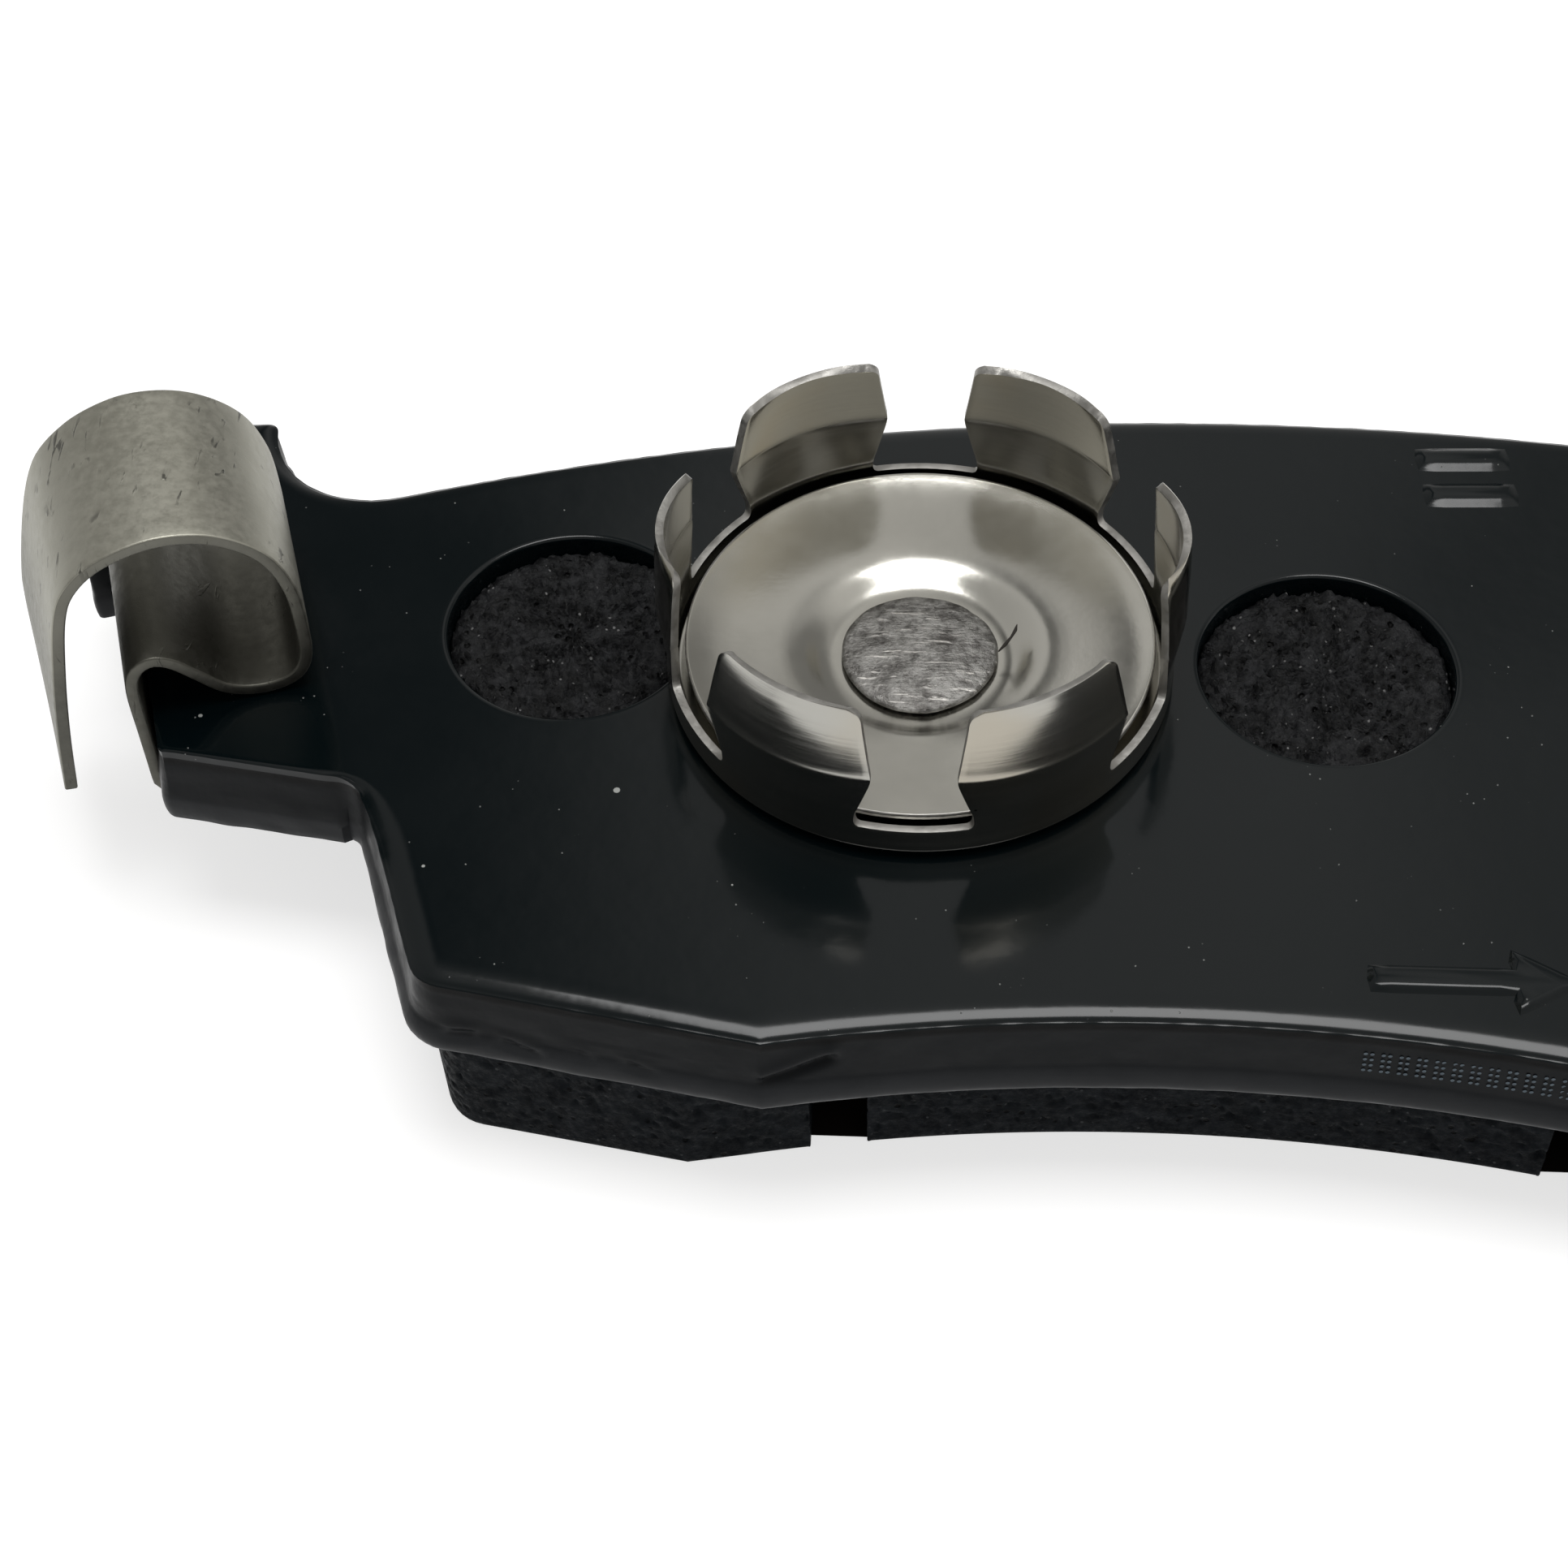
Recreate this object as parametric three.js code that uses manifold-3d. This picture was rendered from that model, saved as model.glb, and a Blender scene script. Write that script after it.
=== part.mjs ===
// Disc brake pad: a stamped steel backing plate with two hammer-head ears, three friction blocks on an
// underlayer, a crown clip with its riveted disc for the caliper piston, and a strip spring on each ear.
// Frame: millimetres, +Z towards the piston, +Y away from the axle, origin in the middle of the rotor face.

import * as THREE from 'three';
import { mergeVertices } from 'three/addons/utils/BufferGeometryUtils.js';
import Module from 'manifold-3d';

const wasm = await Module();
wasm.setup();

// ---------- driving dimensions ----------

const friction = {
  thickness: 8,
  slot: { width: 3.4, leftEdge: -23.8, rightEdge: 19.8 },
  cornerRadius: 3,
  innerArcInset: 4,
  outerArcInset: 4.3,
};

const underlayer = { thickness: 2, plugRecess: 0.8, plugClearance: 0.3 };

const plate = {
  thickness: 5.8,
  outerArc: { x: 1.85, y: -152.1, radius: 177.25 },
  innerArc: { x: -3.1, y: -146.06, radius: 119.9 },
  innerCornerX: 26.2,
  arcSteps: 30,
};

// The two retention holes near the ends and the one by the centre; friction compound fills them.
const retentionHoles = { radius: 7.9, centres: [[-40.1, 4.1], [7.2, 1.9], [40.1, 4.1]] };

// The ear's own axes: u runs inwards along the pad, n runs outwards along the ear's end face.
const ear = {
  angle: THREE.MathUtils.degToRad(17.7),
  corner: { x: -64.6, y: -7.36 },
  seatLength: 18.2,
  hornStep: 3.1,
  hornLength: 10.7,
};

const spring = {
  thickness: 0.8,
  width: 13,
  seatOffset: 2.8,
  clearance: 0.15,
};

const clip = { x: -18, y: 1.5 };

const crown = {
  sheet: 0.5,
  liftOff: 0.15,
  holeRadius: 7.2,
  heelRadius: 0.8,
  baseRadius: 15.65,
  creaseRadius: 15.9,
  tipRadius: 15.05,
  creaseHeight: 6.8,
  height: 11.6,
  fingers: 6,
  gap: { floor: 2.4, flareTop: 3.5, flareHalf: 3.4, waistHalf: 2.5, tipHalf: 3.0, cornerHalf: 3.7 },
};

const disc = { sheet: 0.5, radius: 14.5, edgeTop: 2.7, seatRadius: 5.6, holeRadius: 2.75 };

const rivet = { headRadius: 4.9, headRim: 0.4, headDome: 0.45, shankRadius: 2.45, tailRadius: 3.9, tailHeight: 1.5 };

const plateHole = { radius: 2.75, pocketRadius: 4.2, pocketDepth: 1.9 };

// Heights of the main layers.
const plateBottom = friction.thickness + underlayer.thickness;
const plateTop = plateBottom + plate.thickness;

// ---------- finishes ----------

const finish = (name, color, roughness, metalness) => {
  const material = new THREE.MeshStandardMaterial({ color, roughness, metalness });
  material.name = name;
  return material;
};
const blackPaint = finish('black_paint', 0x24272a, 0.35, 0.2);
const compound = finish('friction_compound', 0x1b1b1c, 0.95, 0.0);
const bondingLayer = finish('bonding_layer', 0x232426, 0.9, 0.0);
const polishedStainless = finish('polished_stainless', 0xb9b5ac, 0.18, 1.0);
const satinStainless = finish('satin_stainless', 0xb4b1a9, 0.32, 1.0);
const rivetSteel = finish('rivet_steel', 0x85827f, 0.55, 0.9);
const springSteel = finish('spring_steel', 0x98968b, 0.5, 0.85);

// ---------- solids ----------

function toManifold(geometry) {
  const bare = geometry.clone();
  bare.deleteAttribute('normal');
  bare.deleteAttribute('uv');
  const merged = mergeVertices(bare, 1e-5);
  const vertProperties = new Float32Array(merged.attributes.position.array);
  const triVerts = new Uint32Array(merged.index.array);
  return new wasm.Manifold(new wasm.Mesh({ numProp: 3, vertProperties, triVerts }));
}

function toGeometry(manifold) {
  const mesh = manifold.getMesh();
  const geometry = new THREE.BufferGeometry();
  geometry.setAttribute('position', new THREE.BufferAttribute(mesh.vertProperties, 3));
  geometry.setIndex(new THREE.BufferAttribute(mesh.triVerts, 1));
  geometry.computeVertexNormals();
  return geometry;
}

function extrude(shape, depth, bottom = 0) {
  const geometry = new THREE.ExtrudeGeometry(shape, { depth, bevelEnabled: false, curveSegments: 24 });
  return geometry.translate(0, 0, bottom);
}

// An upright cylinder from bottom to top at a place in the plan.
function post(x, y, radius, bottom, top, segments = 48) {
  const geometry = new THREE.CylinderGeometry(radius, radius, top - bottom, segments);
  geometry.rotateX(Math.PI / 2);
  return geometry.translate(x, y, (bottom + top) / 2);
}

// A LatheGeometry turned upright: its profile is [radius, height] pairs.
function turned(profile, segments) {
  const points = profile.map(([radius, height]) => new THREE.Vector2(radius, height));
  return new THREE.LatheGeometry(points, segments).rotateX(Math.PI / 2);
}

// A closed outline whose corners are rounded: each corner is [x, y, radius].
function roundedOutline(corners) {
  const points = [];
  corners.forEach(([x, y, radius], index) => {
    const corner = new THREE.Vector2(x, y);
    if (radius === 0) {
      points.push(corner);
      return;
    }
    const before = corners[(index + corners.length - 1) % corners.length];
    const after = corners[(index + 1) % corners.length];
    const incoming = new THREE.Vector2(x - before[0], y - before[1]).normalize();
    const outgoing = new THREE.Vector2(after[0] - x, after[1] - y).normalize();
    const turn = Math.atan2(incoming.cross(outgoing), incoming.dot(outgoing));
    const reach = radius * Math.tan(Math.abs(turn) / 2);
    const start = corner.clone().addScaledVector(incoming, -reach);
    const side = Math.sign(turn);
    const centre = start.clone().add(new THREE.Vector2(-incoming.y, incoming.x).multiplyScalar(side * radius));
    const arm = start.clone().sub(centre);
    const steps = Math.max(2, Math.ceil(Math.abs(turn) / 0.2));
    for (let step = 0; step <= steps; step += 1) {
      points.push(centre.clone().add(arm.clone().rotateAround(new THREE.Vector2(), (turn * step) / steps)));
    }
  });
  return new THREE.Shape(points);
}

const arcHeight = (arc, x, inset = 0) => {
  const radius = arc.radius + inset;
  return arc.y + Math.sqrt(radius ** 2 - (x - arc.x) ** 2);
};

// Points along a long edge arc from one x to another, both ends included.
function arcPoints(arc, fromX, toX, inset, steps) {
  return Array.from({ length: steps + 1 }, (_, step) => {
    const x = fromX + ((toX - fromX) * step) / steps;
    return [x, arcHeight(arc, x, inset), 0];
  });
}

// ---------- backing plate ----------

// A point in the left ear's own axes: along u inwards, along n outwards from the ear's corner.
function earPoint(u, n) {
  const cos = Math.cos(ear.angle);
  const sin = Math.sin(ear.angle);
  return [ear.corner.x + u * cos - n * sin, ear.corner.y + u * sin + n * cos];
}

// The left end's corners from the lower edge, round the ear, to the foot of the outer arc.
function endCorners() {
  return [
    [-46.98, -24.65, 3.4],
    [-52.47, -9.27, 1.8],
    [...earPoint(0, 0), 0.6],
    [...earPoint(0, ear.seatLength), 0.5],
    [...earPoint(-ear.hornStep, ear.seatLength), 0.6],
    [...earPoint(-ear.hornStep, ear.seatLength + ear.hornLength), 2.5],
    [-66.9, 23.6, 1.5],
    [-62.4, 23.6, 0.9],
    [-60.2, 14.85, 5],
  ];
}

const mirrorCorners = (corners) => corners.map(([x, y, radius]) => [-x, y, radius]).reverse();

function plateOutline() {
  const left = endCorners();
  const right = mirrorCorners(left);
  const arcStart = 53;
  const lowerCorner = plate.innerCornerX;
  const clockwise = [
    ...left,
    ...arcPoints(plate.outerArc, -arcStart, arcStart, 0, plate.arcSteps),
    ...right,
    ...arcPoints(plate.innerArc, lowerCorner, -lowerCorner, 0, plate.arcSteps),
  ];
  return roundedOutline(clockwise.reverse());
}

function backingPlate() {
  const outline = plateOutline();
  let solid = toManifold(extrude(outline, plate.thickness, plateBottom));
  for (const [x, y] of retentionHoles.centres) {
    const hole = post(x, y, retentionHoles.radius, plateBottom - 1, plateTop + 1);
    solid = solid.subtract(toManifold(hole));
  }
  const rivetHole = post(clip.x, clip.y, plateHole.radius, plateBottom - 1, plateTop + 1, 32);
  const pocket = post(clip.x, clip.y, plateHole.pocketRadius, plateBottom - 1, plateBottom + plateHole.pocketDepth, 32);
  solid = solid.subtract(toManifold(rivetHole));
  solid = solid.subtract(toManifold(pocket));
  return toGeometry(solid);
}

// ---------- friction material ----------

// The moulding's plan is set in from the plate's edge all round and stops short of the ears.
function frictionOutline() {
  const lowerCorner = [-45.5, -22.56, friction.cornerRadius];
  const arcCorner = [-30.2, -25.16, 0];
  const upperCorner = [-57.2, 10.2, 3.5];
  const clockwise = [
    lowerCorner,
    upperCorner,
    ...arcPoints(plate.outerArc, -51, 51, -friction.outerArcInset, 24),
    [-upperCorner[0], upperCorner[1], upperCorner[2]],
    [-lowerCorner[0], lowerCorner[1], lowerCorner[2]],
    [-arcCorner[0], arcCorner[1], 0],
    ...arcPoints(plate.innerArc, 26, -28, friction.innerArcInset, 20),
    arcCorner,
  ];
  return roundedOutline(clockwise.reverse());
}

function frictionBlock(fromX, toX) {
  const whole = toManifold(extrude(frictionOutline(), friction.thickness));
  const window = new THREE.BoxGeometry(toX - fromX, 100, friction.thickness + 2);
  window.translate((fromX + toX) / 2, 0, friction.thickness / 2);
  return toGeometry(whole.intersect(toManifold(window)));
}

// The bonding layer is one sheet under all three blocks, and its plugs fill the plate's holes.
function underlayerSheet() {
  let solid = toManifold(extrude(frictionOutline(), underlayer.thickness, friction.thickness));
  const plugRadius = retentionHoles.radius - underlayer.plugClearance;
  for (const [x, y] of retentionHoles.centres) {
    const plug = post(x, y, plugRadius, friction.thickness + 1, plateTop - underlayer.plugRecess);
    solid = solid.add(toManifold(plug));
  }
  return toGeometry(solid);
}

// ---------- crown clip ----------

// The pressed cup before its gaps are cut: a flat floor with a hole, a round heel and a wall that
// leans out to a crease and back in to the tips. Heights are above the plate.
function crownProfile() {
  const { sheet, liftOff, heelRadius, baseRadius, creaseRadius, creaseHeight } = crown;
  const heelX = baseRadius - heelRadius;
  const heelY = liftOff + heelRadius;
  const heelSteps = 4;
  const heelArc = (radius) => Array.from({ length: heelSteps + 1 }, (_, step) => {
    const angle = (-Math.PI / 2) * (1 - step / heelSteps);
    return [heelX + radius * Math.cos(angle), heelY + radius * Math.sin(angle)];
  });
  const wall = [
    [baseRadius + 0.03, 3.4],
    [creaseRadius - 0.12, creaseHeight - 0.5],
    [creaseRadius, creaseHeight],
    [creaseRadius - 0.1, creaseHeight + 0.8],
    [creaseRadius - 0.4, creaseHeight + 2.2],
    [crown.tipRadius, crown.height],
  ];
  const outer = [[crown.holeRadius, liftOff], ...heelArc(heelRadius), ...wall];
  const innerWall = wall.map(([radius, height]) => [radius - sheet, height]);
  const inner = [[crown.holeRadius, liftOff + sheet], ...heelArc(heelRadius - sheet), ...innerWall];
  return [...outer, ...inner.reverse(), outer[0]];
}

// One gap between two fingers, drawn as it is seen from outside: flared at the foot, waisted at the
// crease, and wider again at the rounded tips.
function gapCutter(index) {
  const { floor, flareTop, flareHalf, waistHalf, tipHalf, cornerHalf } = crown.gap;
  const top = crown.height;
  const right = [
    [flareHalf - 0.4, floor],
    [flareHalf, floor + 0.4],
    [flareHalf, flareTop],
    [waistHalf, crown.creaseHeight - 0.2],
    [waistHalf, crown.creaseHeight + 0.2],
    [tipHalf, top - 0.9],
    [tipHalf + 0.25, top - 0.3],
    [cornerHalf, top + 0.02],
    [cornerHalf, top + 1],
  ];
  const left = right.map(([half, height]) => [-half, height]).reverse();
  const shape = new THREE.Shape([...right, ...left].map(([x, y]) => new THREE.Vector2(x, y)));
  const geometry = new THREE.ExtrudeGeometry(shape, { depth: 10, bevelEnabled: false });
  geometry.rotateX(Math.PI / 2);
  geometry.translate(0, -crown.baseRadius + 6, 0);
  geometry.rotateZ((index * 2 * Math.PI) / crown.fingers);
  return geometry;
}

function crownCup() {
  let solid = toManifold(turned(crownProfile(), 90));
  for (let index = 0; index < crown.fingers; index += 1) {
    solid = solid.subtract(toManifold(gapCutter(index)));
  }
  return toGeometry(solid);
}

// The dished disc holds the crown down: a flat seat, a dimple wall, and a shallow cone to its rim.
function clipDisc() {
  const base = 0.05;
  const { sheet, radius, edgeTop, seatRadius, holeRadius } = disc;
  const top = [
    [holeRadius, base + sheet],
    [seatRadius, base + sheet],
    [seatRadius + 0.7, base + sheet + 0.35],
    [seatRadius + 1.3, base + sheet + 0.95],
    [seatRadius + 2.1, base + sheet + 1.3],
    [seatRadius + 3.4, base + sheet + 1.5],
    [radius, edgeTop],
  ];
  const bottom = [
    [holeRadius, base],
    [seatRadius + 0.15, base],
    [seatRadius + 0.95, base + 0.4],
    [seatRadius + 1.5, base + 0.98],
    [seatRadius + 2.2, base + 1.28],
    [seatRadius + 3.45, base + 1.5],
    [radius, edgeTop - sheet],
  ];
  const closed = [...bottom, ...top.reverse()];
  return turned([...closed, closed[0]], 60);
}

function clipRivet() {
  const headBottom = 0.05 + disc.sheet + 0.05;
  const tailTop = -plate.thickness + rivet.tailHeight;
  const profile = [
    [0, -plate.thickness + 0.1],
    [rivet.tailRadius - 0.3, -plate.thickness + 0.1],
    [rivet.tailRadius, -plate.thickness + 0.4],
    [rivet.tailRadius, tailTop],
    [rivet.shankRadius, tailTop],
    [rivet.shankRadius, headBottom],
    [rivet.headRadius, headBottom],
    [rivet.headRadius, headBottom + rivet.headRim],
    [rivet.headRadius * 0.8, headBottom + rivet.headRim + rivet.headDome * 0.6],
    [rivet.headRadius * 0.4, headBottom + rivet.headRim + rivet.headDome * 0.95],
    [0, headBottom + rivet.headRim + rivet.headDome],
  ];
  return turned(profile, 36);
}

// ---------- ear springs ----------

// The strip's middle line, from the hook under the ear to the free leg: [along u, above the plate].
function springLine() {
  const leafU = -spring.thickness / 2 - spring.clearance;
  const hookHeight = -plate.thickness - spring.thickness / 2 - spring.clearance;
  const hook = [[3.2, hookHeight], [1.2, hookHeight], [0.15, hookHeight], [-0.44, hookHeight + 0.2], [leafU, hookHeight + 0.8]];
  const leaf = [[leafU, -4], [leafU, -1], [leafU, 2]];
  const saddle = [[-0.35, 3.5], [0.25, 4.4], [1.2, 4.7], [2.3, 4.15], [3.6, 2.75], [4.9, 1.45], [6.3, 0.85]];
  const heel = [[7.9, 0.75], [9.2, 1.35], [9.85, 2.7]];
  const loop = [[10, 5.2], [9.75, 8.6], [8.65, 11.5], [6.1, 13.6], [3, 14.2], [-0.3, 13.35], [-2.45, 11.8]];
  const leg = [[-3.5, 9.7], [-4.7, 5], [-5.6, 0], [-6.15, -4.9]];
  const points = [...hook, ...leaf, ...saddle, ...heel, ...loop, ...leg];
  return new THREE.SplineCurve(points.map(([x, y]) => new THREE.Vector2(x, y)));
}

function springGeometry(side) {
  const line = springLine();
  const steps = 84;
  const near = [];
  const far = [];
  for (let step = 0; step <= steps; step += 1) {
    const point = line.getPointAt(step / steps);
    const tangent = line.getTangentAt(step / steps);
    const normal = new THREE.Vector2(-tangent.y, tangent.x).multiplyScalar(spring.thickness / 2);
    near.push(point.clone().add(normal));
    far.push(point.clone().sub(normal));
  }
  const shape = new THREE.Shape([...near, ...far.reverse()]);
  const geometry = new THREE.ExtrudeGeometry(shape, { depth: spring.width, bevelEnabled: false });

  const u = new THREE.Vector3(-side * Math.cos(ear.angle), Math.sin(ear.angle), 0);
  const up = new THREE.Vector3(0, 0, 1);
  const across = u.clone().cross(up);
  const reach = side < 0 ? spring.seatOffset + spring.width : spring.seatOffset;
  const [x, y] = earPoint(0, reach);
  const place = new THREE.Matrix4().makeBasis(u, up, across);
  place.setPosition(-side * x, y, plateTop);
  return geometry.applyMatrix4(place);
}

// ---------- assembly ----------

const pad = new THREE.Group();

function addPart(name, geometry, material, position = [0, 0, 0]) {
  const mesh = new THREE.Mesh(geometry, material);
  mesh.name = name;
  mesh.position.set(...position);
  pad.add(mesh);
}

const { leftEdge, rightEdge, width: slotWidth } = friction.slot;
const clipPlace = [clip.x, clip.y, plateTop];

addPart('backing_plate', backingPlate(), blackPaint);
addPart('underlayer', underlayerSheet(), bondingLayer);
addPart('friction_block_left', frictionBlock(-80, leftEdge), compound);
addPart('friction_block_centre', frictionBlock(leftEdge + slotWidth, rightEdge), compound);
addPart('friction_block_right', frictionBlock(rightEdge + slotWidth, 80), compound);
addPart('piston_clip_crown', crownCup(), polishedStainless, clipPlace);
addPart('piston_clip_disc', clipDisc(), satinStainless, clipPlace);
addPart('clip_rivet', clipRivet(), rivetSteel, clipPlace);
addPart('ear_spring_left', springGeometry(-1), springSteel);
addPart('ear_spring_right', springGeometry(1), springSteel);

export default pad;
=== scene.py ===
"""A disc brake pad: backing plate, friction blocks, crown clip with its disc, ear springs."""

import math
import bmesh
import bpy
import numpy as np
from mathutils import Matrix, Vector, noise


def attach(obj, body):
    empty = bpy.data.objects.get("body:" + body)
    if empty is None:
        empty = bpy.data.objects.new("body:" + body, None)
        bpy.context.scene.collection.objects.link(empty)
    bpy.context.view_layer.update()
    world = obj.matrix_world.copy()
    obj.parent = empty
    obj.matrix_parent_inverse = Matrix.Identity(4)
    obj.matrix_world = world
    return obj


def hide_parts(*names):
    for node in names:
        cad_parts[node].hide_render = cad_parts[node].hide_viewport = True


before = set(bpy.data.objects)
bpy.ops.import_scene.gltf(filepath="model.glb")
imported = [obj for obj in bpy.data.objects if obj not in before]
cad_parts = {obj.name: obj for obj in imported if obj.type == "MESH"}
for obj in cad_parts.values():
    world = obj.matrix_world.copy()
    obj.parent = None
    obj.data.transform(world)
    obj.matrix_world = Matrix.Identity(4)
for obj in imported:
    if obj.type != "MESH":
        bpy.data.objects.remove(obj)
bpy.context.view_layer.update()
bpy.ops.object.select_all(action="DESELECT")

MM = 0.001

# ---------- main sizes, in millimetres ----------

ROTOR_FACE = 0.0
BLOCK_TOP = 8.0
PLATE_BOTTOM = 10.0
PLATE_TOP = 15.8
OUTER_ARC = (1.85, -152.1, 177.25)
INNER_ARC = (-3.1, -146.06, 119.9)
INNER_CORNER_X = 26.2
HOLES = ((-40.1, 4.1), (7.2, 1.9), (40.1, 4.1))
HOLE_RADIUS = 7.9
RIVET_HOLE_RADIUS = 2.75
# The pocket for the rivet's tail, its ceiling measured from the plate's top.
POCKET_RADIUS = 4.2
POCKET_CEILING = -3.9
PLATE_THICKNESS = 5.8
LEFT_SLOT = (-23.8, -20.4)
RIGHT_SLOT = (19.8, 23.2)
CLIP = (-18.0, 1.5)
EAR_ANGLE = math.radians(17.7)
EAR_CORNER = (-64.6, -7.36)
SEAT_LENGTH = 18.2
HORN_STEP = 3.1
HORN_LENGTH = 10.7
SPRING_WIDTH = 13.0
SPRING_OFFSET = 2.8
SPRING_SHEET = 0.8
# Height of the dark sheets that paint the shadow inside the slots.
SLOT_SHADOW_HEIGHT = 0.02

CAMERA_PLACE = (-16.674, -113.771, 139.696)
CAMERA_YAW = math.radians(5.0)
CAMERA_PITCH = math.radians(49.466)
CAMERA_ROLL = math.radians(-2.361)
CAMERA_LENS = 62.14
# The softbox is set out in metres.
SOFTBOX_PLACE = (0.0, 0.0, 0.60)
SOFTBOX_WIDTH, SOFTBOX_DEPTH = 0.32, 0.26
SOFTBOX_RADIANCE = 8.0


# ---------- camera and light ----------

def set_inputs(node, values):
    for name, value in values.items():
        node.inputs[name].default_value = value


def add_camera():
    """Looks down on the pad from the near side, a little left of its middle."""
    data = bpy.data.cameras.new("view")
    data.sensor_width = 36.0
    data.lens = CAMERA_LENS
    data.clip_start = 0.01
    data.clip_end = 10.0
    yaw, pitch, roll = CAMERA_YAW, CAMERA_PITCH, CAMERA_ROLL
    ground_right = Vector((math.cos(yaw), math.sin(yaw), 0))
    ground_forward = Vector((-math.sin(yaw), math.cos(yaw), 0))
    forward = ground_forward * math.cos(pitch) - Vector((0, 0, math.sin(pitch)))
    lifted = ground_forward * math.sin(pitch) + Vector((0, 0, math.cos(pitch)))
    right = ground_right * math.cos(roll) + lifted * math.sin(roll)
    up = lifted * math.cos(roll) - ground_right * math.sin(roll)
    turn = Matrix((right, up, -forward)).transposed().to_4x4()
    camera = bpy.data.objects.new("view", data)
    camera.matrix_world = Matrix.Translation(Vector(CAMERA_PLACE) * MM) @ turn
    bpy.context.scene.collection.objects.link(camera)
    bpy.context.scene.camera = camera


def add_softbox():
    """One wide soft lamp straight overhead, facing down."""
    data = bpy.data.lights.new("overhead", "AREA")
    data.shape = "RECTANGLE"
    data.size = SOFTBOX_WIDTH
    data.size_y = SOFTBOX_DEPTH
    data.energy = SOFTBOX_RADIANCE * math.pi * SOFTBOX_WIDTH * SOFTBOX_DEPTH
    lamp = bpy.data.objects.new("overhead", data)
    place = Vector(SOFTBOX_PLACE)
    lamp.location = place
    lamp.rotation_euler = (-place).to_track_quat("-Z", "Y").to_euler()
    bpy.context.scene.collection.objects.link(lamp)


def add_room():
    """Studio surroundings: dim on the left, dimmest behind it, dimmer again low on the right."""
    world = bpy.data.worlds.new("room")
    world.use_nodes = True
    tree = world.node_tree
    background = tree.nodes["Background"]
    coords = tree.nodes.new("ShaderNodeTexCoord")
    split = tree.nodes.new("ShaderNodeSeparateXYZ")
    tree.links.new(coords.outputs["Generated"], split.inputs[0])

    def ramp(axis, low, high, start, end):
        node = tree.nodes.new("ShaderNodeMapRange")
        node.interpolation_type = "SMOOTHSTEP"
        set_inputs(node, {"From Min": low, "From Max": high, "To Min": start, "To Max": end})
        tree.links.new(split.outputs[axis], node.inputs["Value"])
        return node.outputs["Result"]

    def calc(operation, a, b):
        node = tree.nodes.new("ShaderNodeMath")
        node.operation = operation
        tree.links.new(a, node.inputs[0])
        tree.links.new(b, node.inputs[1])
        return node.outputs[0]

    sides = ramp("X", -0.50, 0.30, 0.50, 0.88)
    front = ramp("Y", -0.65, 0.15, 0.55, 1.0)
    behind = ramp("Y", 0.20, 0.55, 0.0, 1.0)
    left_wall = calc("MULTIPLY", ramp("X", -0.22, -0.02, 0.81, 0.0),
                     ramp("X", -0.31, -0.25, 0.0, 1.0))
    left_behind = calc("MULTIPLY", left_wall, behind)
    right_behind = calc("MULTIPLY", ramp("X", 0.11, 0.26, 0.0, 0.34), behind)
    dimmed = calc("MULTIPLY", sides, front)
    low_right = calc("MULTIPLY", ramp("Z", 0.64, 0.76, 0.32, 0.0), ramp("X", -0.02, 0.10, 0.0, 1.0))
    shade = calc("ADD", left_behind, calc("ADD", right_behind, calc("MULTIPLY", low_right, behind)))
    walls = calc("SUBTRACT", dimmed, calc("MULTIPLY", dimmed, shade))
    tree.links.new(walls, background.inputs["Strength"])
    background.inputs["Color"].default_value = (1.0, 0.985, 0.955, 1.0)
    bpy.context.scene.world = world
    bpy.context.scene.view_settings.view_transform = "Standard"


def add_slot_shadows():
    """Dark sheets on the floor, one down each slot between the blocks: painted shadow for the
    insides of the slots.
    """
    shadow_paint = bpy.data.materials.new("painted_slot_shadow")
    shadow_paint.use_nodes = True
    shader = shadow_paint.node_tree.nodes["Principled BSDF"]
    # Near-black, as painted shade for the slots' insides.
    set_inputs(shader, {"Base Color": (0.010, 0.008, 0.007, 1), "Roughness": 1.0,
                        "Specular IOR Level": 0.05})
    far = 18
    strips = (("slot_shadow_left", -24.3, -19.9, -23.3), ("slot_shadow_right", 19.4, 23.6, -24.2))
    for name, left, right, near in strips:
        bpy.ops.mesh.primitive_plane_add(size=1.0, location=(0, 0, 0))
        shadow_sheet = bpy.context.object
        shadow_sheet.name = name
        corners = ((left, near), (right, near), (left, far), (right, far))
        for vertex, (x, y) in zip(shadow_sheet.data.vertices, corners):
            vertex.co = Vector((x, y, SLOT_SHADOW_HEIGHT)) * MM
        shadow_sheet.data.materials.append(shadow_paint)
        bpy.ops.object.select_all(action="DESELECT")


def add_floor():
    """Plain white paper, faintly lit from below like a light table."""
    bpy.ops.mesh.primitive_plane_add(size=4.0, location=(0, 0, ROTOR_FACE))
    floor = bpy.context.object
    floor.name = "floor"
    paint = bpy.data.materials.new("floor_paper")
    paint.use_nodes = True
    shader = paint.node_tree.nodes["Principled BSDF"]
    set_inputs(shader, {"Base Color": (0.45, 0.45, 0.45, 1), "Emission Color": (1, 1, 1, 1),
                        "Emission Strength": 0.68, "Roughness": 0.95, "Specular IOR Level": 0.1})
    floor.data.materials.append(paint)
    bpy.ops.object.select_all(action="DESELECT")


# ---------- finishes ----------

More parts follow.
